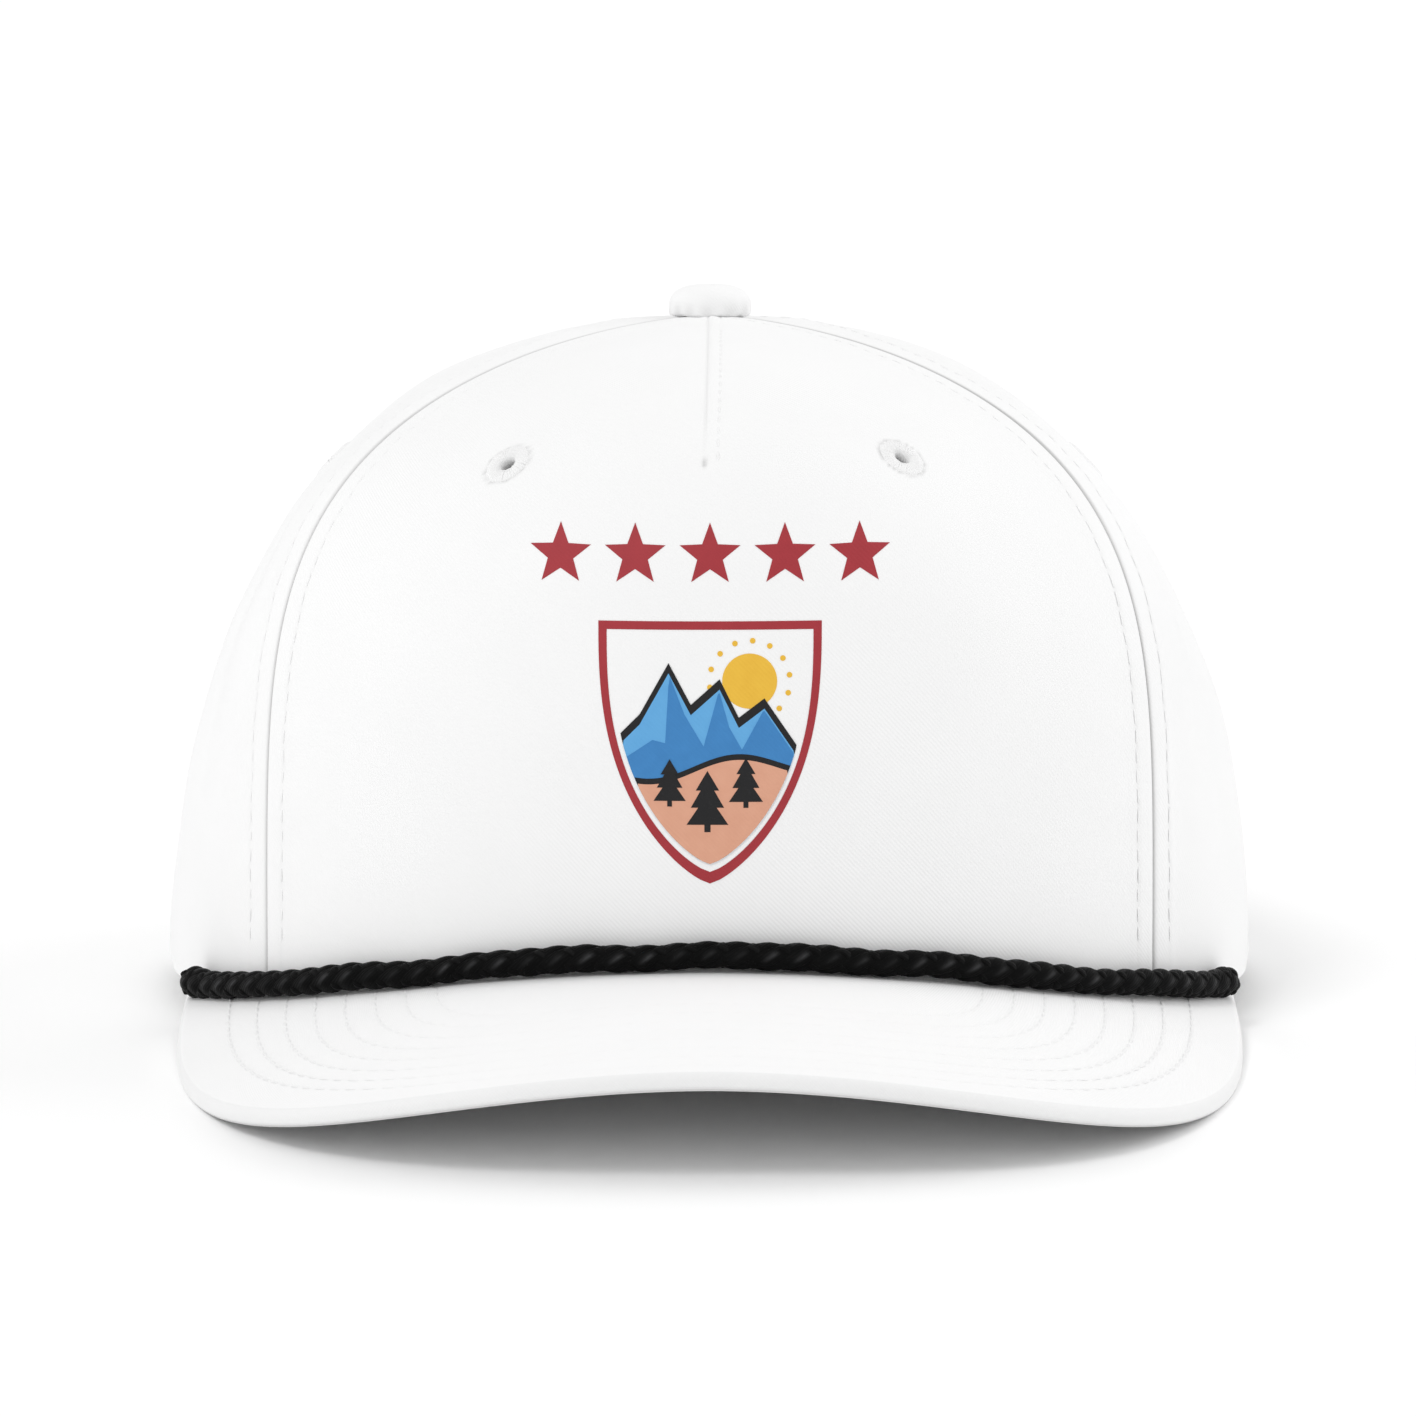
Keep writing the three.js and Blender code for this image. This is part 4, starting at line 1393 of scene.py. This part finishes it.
# The sweatband: a folded strip of brushed cotton round the inside of the hem, fuller at its folds and
# drawn in along its two rows of stitches. Its grid goes up the outer side and down the inner one.
def sweatband():
    angle = np.linspace(-band["end"], band["end"], band["columns"])[:, None]
    x, y, _ = rimPoint(angle)
    over = 1 - levelShare(angle)
    bottom = hemHeight(angle, x, y) + band["clear"] - (band["clear"] + band["hang"]) * over
    half = band["thickness"] / 2
    bend = np.linspace(-np.pi / 2, np.pi / 2, 7)
    low, high = 0.5, band["height"] - 0.5
    edge = 0.5 * np.cos(bend[1:-1])
    rising, falling = np.linspace(low, high, 12), np.linspace(high, low, 44)
    up = np.concatenate([rising, high + edge, falling, low - edge])
    edge = half * np.sin(bend[1:-1])
    deep = np.concatenate([rising * 0 - half, edge, falling * 0 + half, -edge])
    along = angle * 1.63
    slack = 0.22 * np.sin(along / 7.3 + 0.8) * np.sin(up / 6.1 + along / 31)
    drawn = sum(bell(up - row, 0.55) for row in band["rows"])
    needle = (1 + np.cos(2 * np.pi * along / seam["pitch"])) / 2
    inner = (deep > 0) * eased(up, 0.6, 1.6) * (1 - eased(up, high - 1.1, high - 0.1))
    pulled = inner * (0.28 * drawn * (0.5 + 0.5 * needle) + 0.12 - 0.5 * slack)
    inset = band["inset"] + half + deep - pulled
    inset = inset + band["step"] * eased(np.abs(angle), band["stepFrom"], band["stepFrom"] + 4)
    points = insidePoint(np.broadcast_to(angle, inset.shape), bottom + up, inset)
    mesh, faces = closedTube(points)
    flat = np.stack(np.broadcast_arrays(along, up + 40 * (deep > 0)), -1).reshape(-1, 2)
    # Painted shade along the rows of stitches on the inner side, stronger at the needle holes.
    shade = inner * drawn * (0.1 + 0.25 * needle**3)
    addPiece(
        "brushedCottonSweatband",
        mesh,
        [part[:, ::-1] for part in faces],
        "brushedCotton",
        ["sweatband"],
        spread=withEnds(flat),
        crisp=70,
        marks={"paintedShade": withEnds(shade.ravel())},
    )
    rows = []
    for number, height in enumerate(band["rows"]):
        turned = np.linspace(-band["end"] + 0.8, band["end"] - 0.8, 3000)
        low = np.interp(turned, angle[:, 0], bottom[:, 0])
        deepest = band["inset"] + band["thickness"] + 0.1
        stepped = eased(np.abs(turned), band["stepFrom"], band["stepFrom"] + 4)
        line = insidePoint(turned, low + height, deepest + band["step"] * stepped)
        places, index = evenPlaces(line, seam["pitch"]), np.arange(len(line))
        middle = tableAt(places, index, line)
        ahead = unit(tableAt(places, index, np.gradient(line, axis=0)))
        turned = np.interp(places, index, turned)
        out = -crownNormal(turned, riseAt(turned, height))
        rows.append(stitches(middle, ahead, out, 70 + number))
    addStitching("sweatbandStitching", rows)


sweatband()


# Which points lie inside a shape with holes, by counting how often a line from each crosses its loops.
def insideLoops(points, loops):
    inside = np.zeros(len(points), bool)
    px, py = points[:, :1], points[:, 1:]
    for loop in loops:
        (x1, y1), (x2, y2) = loop.T, np.roll(loop, -1, 0).T
        rise = np.where(y2 == y1, 1e-9, y2 - y1)
        crossed = ((y1 > py) != (y2 > py)) & (px < (x2 - x1) * (py - y1) / rise + x1)
        inside ^= crossed.sum(1) % 2 == 1
    return inside


# A flat shape with holes cut into triangles, with inner points some way apart. Returns the points,
# the triangles and the edges that bound them.
def cutShape(loops, spacing):
    rim = np.concatenate(loops)
    starts = np.cumsum([0] + [len(loop) for loop in loops])
    edges = np.concatenate([
        np.stack([np.arange(len(loop)), np.roll(np.arange(len(loop)), -1)], 1) + start
        for loop, start in zip(loops, starts)
    ])
    low, high = rim.min(0), rim.max(0)
    x, y = np.meshgrid(*(np.arange(low[k] + spacing / 2, high[k], spacing) for k in (0, 1)))
    inner = np.stack([x.ravel(), y.ravel()], -1)
    inner = inner[insideLoops(inner, loops)]
    away = np.linalg.norm(inner[:, None] - rim[None], axis=-1).min(1) if len(inner) else np.zeros(0)
    points = np.concatenate([rim, inner[away > 0.6 * spacing]])
    corners = [Vector(point) for point in points.tolist()]
    made = delaunay_2d_cdt(corners, edges.tolist(), [], 0, 1e-5)
    points = np.array([tuple(point) for point in made[0]])
    triangles = np.array(made[2])
    a, b, c = (points[triangles[:, k]] for k in range(3))
    area = (b[:, 0] - a[:, 0]) * (c[:, 1] - a[:, 1]) - (b[:, 1] - a[:, 1]) * (c[:, 0] - a[:, 0])
    triangles = np.where(area[:, None] < 0, triangles[:, ::-1], triangles)
    kept = insideLoops((a + b + c) / 3, loops) & (np.abs(area) > 1e-7)
    triangles = triangles[kept]
    sides = np.concatenate([triangles[:, [0, 1]], triangles[:, [1, 2]], triangles[:, [2, 0]]])
    code = sides[:, 0] * len(points) + sides[:, 1]
    back = sides[:, 1] * len(points) + sides[:, 0]
    return points, triangles, sides[~np.isin(code, back)]


# A closed plate from a cut shape, its upper and lower points given. Seen from above the shape's
# triangles run anticlockwise.
def plateFaces(count, triangles, border):
    p, q = border.T
    return [triangles, triangles[:, ::-1] + count, np.stack([q, p, p + count, q + count], 1)]


# Points round a circle, even steps apart.
def circle(x, y, radius, count=28):
    turn = np.linspace(0, 2 * np.pi, count, endpoint=False)
    return np.stack([x + radius * np.cos(turn), y + radius * np.sin(turn)], -1)


strap = {
    "perDegree": 1.6,  # millimetres along it, at the middle of the back
    "lift": 3,
    "height": 19,
    "thickness": 1.4,
    "tuck": 33.65,  # degrees from the middle of the back to each end that is sewn in
    "underTip": 17,  # degrees past the middle of the back, of the end with the pegs
    "overTip": -18,
    "depth": 2.45,  # of the strap with the pegs, in from the cloth's outside
    "overDepth": 1.15,  # of the other where it lies over it
    "stepDown": (19, 24),  # degrees past the middle, where it goes in to the same depth
    "margin": 1.2,
    "border": 0.22,  # how much the edges and the rings round the holes stand up
    "pegs": (-15, 5.6, 6),  # the first one's angle, the step and how many
    "holes": 8,
    "hole": 2.35,
    "peg": 1.75,
    "pegHead": 2.1,
}


# The outline of one strap, flat: square at the end that is sewn in and round at its tip.
def strapOutline(sewn, tip, half):
    toward = 1 if tip > sewn else -1
    turn = np.linspace(np.pi / 2, -np.pi / 2, 15)
    tipLength = 0.72 * half
    x = tip - toward * tipLength * (1 - np.abs(np.cos(turn)) ** 0.9)
    ends = np.stack([x, half * np.sign(np.sin(turn)) * np.abs(np.sin(turn)) ** 0.9], -1)
    straight = np.linspace(sewn, x[0], 60)[:, None]
    upper = np.concatenate([straight, np.full_like(straight, half)], 1)[:-1]
    lower = np.concatenate([straight[::-1], np.full_like(straight, -half)], 1)[1:]
    side = np.stack([np.full(13, sewn), np.linspace(-half, half, 15)[1:-1]], -1)
    return np.concatenate([upper, ends, lower, side])


# One strap bent round the back of the crown: a raised border along its edges and a ring round each
# hole. The depth is that of its outer side, which steps down to the other strap's near the crown.
def strapPiece(name, sewn, tip, half, holes, depth, stands):
    outline = strapOutline(sewn * strap["perDegree"], tip * strap["perDegree"], half)
    loops = [outline] + [circle(at * strap["perDegree"], 0, strap["hole"]) for at in holes]
    flat, triangles, border = cutShape(loops, 0.85)
    x, y = flat.T
    rim = np.linalg.norm(flat[:, None] - outline[None], axis=-1).min(1)
    raised = strap["border"] * (1 - eased(rim, 1.2, 1.7))
    for at in holes:
        away = np.hypot(x - at * strap["perDegree"], y) - strap["hole"]
        raised = np.maximum(raised, strap["border"] * (1 - eased(away, 0.7, 1.1)))
    turn = x / strap["perDegree"]
    height = y + strap["lift"] + strap["height"] / 2
    outside = mixed(depth, strap["depth"], eased(turn, *strap["stepDown"]))
    sides = outside - raised, outside + strap["thickness"] - 0.3
    points = np.concatenate([insidePoint(turn + 180, height, side) for side in sides])
    faces = plateFaces(len(flat), triangles[:, ::-1], border[:, ::-1])
    spread = np.concatenate([flat, flat])
    piece = addPiece(name, points, faces, moulded, stands, spread=spread, crisp=40)
    edge = piece.modifiers.new("softEdges", "BEVEL")
    edge.width = 0.18 * mm
    edge.segments = 2
    edge.limit_method = "ANGLE"
    edge.angle_limit = math.radians(55)


# The fastened snap strap: one strap with pegs, and one with holes that lies over it.
def snapStrap():
    half = strap["height"] / 2
    first, step, count = strap["pegs"]
    pegs = first + step * np.arange(count)
    holes = first + step * np.arange(strap["holes"])
    sewn, depth = strap["tuck"], strap["depth"]
    strapPiece("pegStrap", -sewn, strap["underTip"], half, [], depth, ["snap_strap"])
    over = half - strap["margin"]
    strapPiece("holeStrap", sewn, strap["overTip"], over, holes, strap["overDepth"], [])
    around = np.linspace(0, 2 * np.pi, 32, endpoint=False)
    stem, head = strap["peg"], strap["pegHead"]
    # radius, height over the strap with the pegs
    profile = [
        (stem, -0.7),
        (stem, 0.9),
        (head - 0.1, 1.15),
        (head, 1.5),
        (head - 0.25, 1.85),
        (1.4, 2.05),
        (0.9, 2.0),
        (0.55, 1.7),
        (0.1, 1.65),
    ]
    radius, height = np.array(profile).T[..., None]
    middle = strap["lift"] + half
    meshes = []
    for turn in 180 + pegs:
        axis = crownNormal(turn, riseAt(turn, middle))
        right = unit(np.cross([0, 0, 1], axis))
        seat = (insidePoint(turn, middle, depth), axis, right, np.cross(axis, right))
        meshes.append(closedTube(aroundAxis(seat, radius, height, around[None] + 0 * height)))
    points, faces = joined(meshes)
    addPiece("strapPegs", points, faces, moulded, spread=points[:, [0, 2]], crisp=40)


snapStrap()


emblem = {
    "shield": (63.5, 17.5, 41),  # top, half width and height
    "line": 1.3,
    "space": 0.9,
    "stars": (-23.5, 11.75, 5, 73.6, 5.0),  # the first one's place, the step, how many, height, radius
    "sun": (6.2, 54.2, 4.3),  # place, height and radius
    "rays": (6.3, 0.45, 14, 0.15),  # distance from the sun's middle, radius, how many, first turn
    # places across and their heights, of the ridge and of the darker slopes
    "peaks": (
        (-15, -11, -6.5, -3, 1.5, 4.5, 8.5, 15),
        (45, 49, 57, 50.5, 54.5, 48.5, 51.5, 42),
    ),
    "facets": (
        (-15, -9, -7, -6.4, -4, -1, 1.4, 3, 5, 8.4, 15),
        (41, 45, 44.5, 55.2, 49, 44, 52.7, 47, 43.5, 49.7, 40),
    ),
    "edge": 1.6,  # of the black line along the ridge
    "hillEdge": 0.9,
    "pines": ((-6.3, 34.6, 7.4), (-0.4, 30.6, 9.6), (5.6, 34.4, 7.8)),  # place, foot and height
    "film": 0.035,
    "spacing": 1.6,
}


# A thin film of ink in the shape of flat loops, pressed onto the front panel. Each layer lies a little
# proud of the one before.
def inkShape(name, loops, ink, layer):
    flat, triangles, border = cutShape(loops, emblem["spacing"])
    angle, rise = spotAt(flat[:, 0], flat[:, 1])
    cloth, out = clothPoint("front_panel", angle, rise), crownNormal(angle, rise)
    proud = 0.06 + emblem["film"] * layer
    points = np.concatenate([cloth + out * proud, cloth + out * (proud - 0.05)])
    faces = plateFaces(len(flat), triangles, border)
    addPiece(name, points, faces, ink, spread=np.concatenate([flat, flat]), crisp=60)


# Half the width of the shield at a height, less a margin all round it: straight sides above and a
# point below.
def shieldHalf(z, margin):
    top, half, height = emblem["shield"]
    down = np.clip((top - margin - z) / (height - 2.4 * margin), 0, 1)
    return (half - margin) * (1 - down**2.6) ** 0.75


# The shield's outline, from its left corner down to the point and up to its right corner.
def shieldLoop(margin):
    top, _, height = emblem["shield"]
    down = np.linspace(0, 1, 48) ** 0.7
    z = top - margin - (height - 2.4 * margin) * down
    half = shieldHalf(z, margin)
    left = np.stack([-half, z], -1)
    right = np.stack([half, z], -1)[-2::-1]
    across = np.linspace(1, -1, 26)[1:-1]
    crest = np.stack([across * half[0], np.full(24, z[0])], -1)
    return np.concatenate([left, right, crest])


# A star's outline: corners at the full radius and at 0.42 of it in turn, with a point halfway
# between each two.
def star(x, z, radius, points=5):
    turn = np.pi / 2 + np.arange(2 * points) * np.pi / points
    reach = np.where(np.arange(2 * points) % 2 == 0, radius, 0.42 * radius)
    corners = np.stack([x + reach * np.cos(turn), z + reach * np.sin(turn)], -1)
    halfway = mixed(corners, np.roll(corners, -1, 0), 0.5)
    return np.concatenate([corners, halfway], 1).reshape(-1, 2)


# The part of the shield that lies under a line of heights, down to its point.
def shieldBelow(x, z, margin):
    top, _, height = emblem["shield"]
    inside = np.abs(x) < shieldHalf(z, margin)
    line = np.stack([x, z], -1)[inside]
    point = top - margin - (height - 2.4 * margin)
    right = np.linspace(line[-1, 1], point, 30)[1:]
    left = np.linspace(point, line[0, 1], 30)[1:-1]
    right = np.stack([shieldHalf(right, margin), right], -1)
    left = np.stack([-shieldHalf(left, margin), left], -1)
    return np.concatenate([line, right, left])


# A pine as seen from the side: three tiers of branches over a short trunk.
def pine(x, z, size):
    wide = [0.05, 0.05, 0.34, 0.15, 0.27, 0.11, 0.19, 0]
    side = np.stack([wide, [0, 0.12, 0.12, 0.4, 0.4, 0.68, 0.68, 1]], -1)
    half = np.stack([side[:-1], mixed(side[:-1], side[1:], 0.5)], 1).reshape(-1, 2)
    outline = np.concatenate([half, side[-1:], half[::-1] * [-1, 1]])
    return outline * size + [x, z]


# The print in front: a row of stars over a shield with a sun, mountains, hills and pine trees.
def frontPrint():
    first, step, count, z, radius = emblem["stars"]
    red, black = "redTransferInk", "blackTransferInk"
    inkShape("stars", [star(x, z, radius) for x in first + step * np.arange(count)], red, 0)
    line, margin = emblem["line"], emblem["line"] + emblem["space"]
    inkShape("shieldLine", [shieldLoop(0), shieldLoop(line)], red, 0)
    x, z, radius = emblem["sun"]
    away, ray, count, first = emblem["rays"]
    rays = [
        circle(x + away * math.cos(turn), z + away * math.sin(turn), ray, 10)
        for turn in np.linspace(first, 2 * math.pi + first, count, endpoint=False)
    ]
    inkShape("sun", [circle(x, z, radius, 44), *rays], "goldTransferInk", 0)
    x = np.linspace(-15, 15, 121)
    ridge = np.interp(x, *emblem["peaks"])
    facet = np.minimum(np.interp(x, *emblem["facets"]), ridge - emblem["edge"] - 0.1)
    hills = 41 + 1.6 * np.sin(x / 4.2 + 0.6) + 0.05 * x
    layers = {
        "mountainEdge": (ridge, black),
        "mountains": (ridge - emblem["edge"], "blueTransferInk"),
        "mountainShade": (facet, "deepBlueTransferInk"),
        "hillEdge": (hills, black),
        "hills": (hills - emblem["hillEdge"], "tanTransferInk"),
    }
    for layer, (name, (height, ink)) in enumerate(layers.items(), 1):
        inkShape(name, [shieldBelow(x, height, margin)], ink, layer)
    inkShape("pines", [pine(*tree) for tree in emblem["pines"]], black, 6)


frontPrint()


camera = {
    "distance": 1400,
    "target": (0, 0, 41.5),  # a point on the level cap, in its millimetres
    "elevation": math.radians(5),  # above the cap's rim plane
    "focalPixels": 8333,
    "imagePixels": 1416,
    "sensor": 36,
    "aside": 2,  # pixels that the target lies right of the middle
}


# The camera in front of the cap, turned with it as it stands.
def addCamera():
    lens = bpy.data.cameras.new("frontCamera")
    lens.sensor_width = camera["sensor"]
    lens.lens = camera["focalPixels"] / camera["imagePixels"] * camera["sensor"]
    lens.shift_x = -camera["aside"] / camera["imagePixels"]
    lens.clip_end = 30
    seen = bpy.data.objects.new("frontCamera", lens)
    bpy.context.scene.collection.objects.link(seen)
    tilt = camera["elevation"] + stance["pitch"]
    back = Vector((0, -math.cos(tilt), math.sin(tilt)))
    seen.location = Vector(stand(camera["target"])) + back * camera["distance"] * mm
    seen.rotation_mode = "QUATERNION"
    seen.rotation_quaternion = (-back).to_track_quat("-Z", "Y")
    bpy.context.scene.camera = seen


studio = {
    "floorReach": 14,  # in metres, each way
    "floorLevel": -0.03,  # just under the cap
    "sky": 0.74,
    # strength, softness in degrees and the direction that each light comes from
    "lights": {
        "keyLight": (0.69, 18, (-0.52, -0.7, 1.08)),
        "rightLight": (0.82, 50, (1, 0.3, 0.45)),
        "leftLight": (0.36, 50, (-1, 0.2, 0.5)),
    },
}


# A pale floor, an even white surround, a soft light from the upper left in front and two softer ones
# from the sides a little behind, of which the right one is the stronger.
def addStudio():
    reach = studio["floorReach"]
    corners = [(-reach, -reach), (reach, -reach), (reach, reach), (-reach, reach)]
    mesh = bpy.data.meshes.new("studioFloor")
    mesh.from_pydata([(x, y, studio["floorLevel"] * mm) for x, y in corners], [], [(0, 1, 2, 3)])
    mesh.materials.append(finish["backdropPaper"])
    floor = bpy.data.objects.new("studioFloor", mesh)
    bpy.context.scene.collection.objects.link(floor)
    world = bpy.data.worlds.new("whiteSurround")
    world.use_nodes = True
    background = world.node_tree.nodes["Background"]
    background.inputs["Color"].default_value = (1, 1, 1, 1)
    background.inputs["Strength"].default_value = studio["sky"]
    bpy.context.scene.world = world
    for name, (strength, softness, source) in studio["lights"].items():
        light = bpy.data.lights.new(name, "SUN")
        light.energy = strength
        light.angle = math.radians(softness)
        lamp = bpy.data.objects.new(name, light)
        bpy.context.scene.collection.objects.link(lamp)
        lamp.location = Vector(source) * 2
        lamp.rotation_mode = "QUATERNION"
        lamp.rotation_quaternion = Vector(source).to_track_quat("Z", "Y")
    bpy.context.scene.view_settings.view_transform = "Standard"


addCamera()
addStudio()

print("camera, light and floor ready")
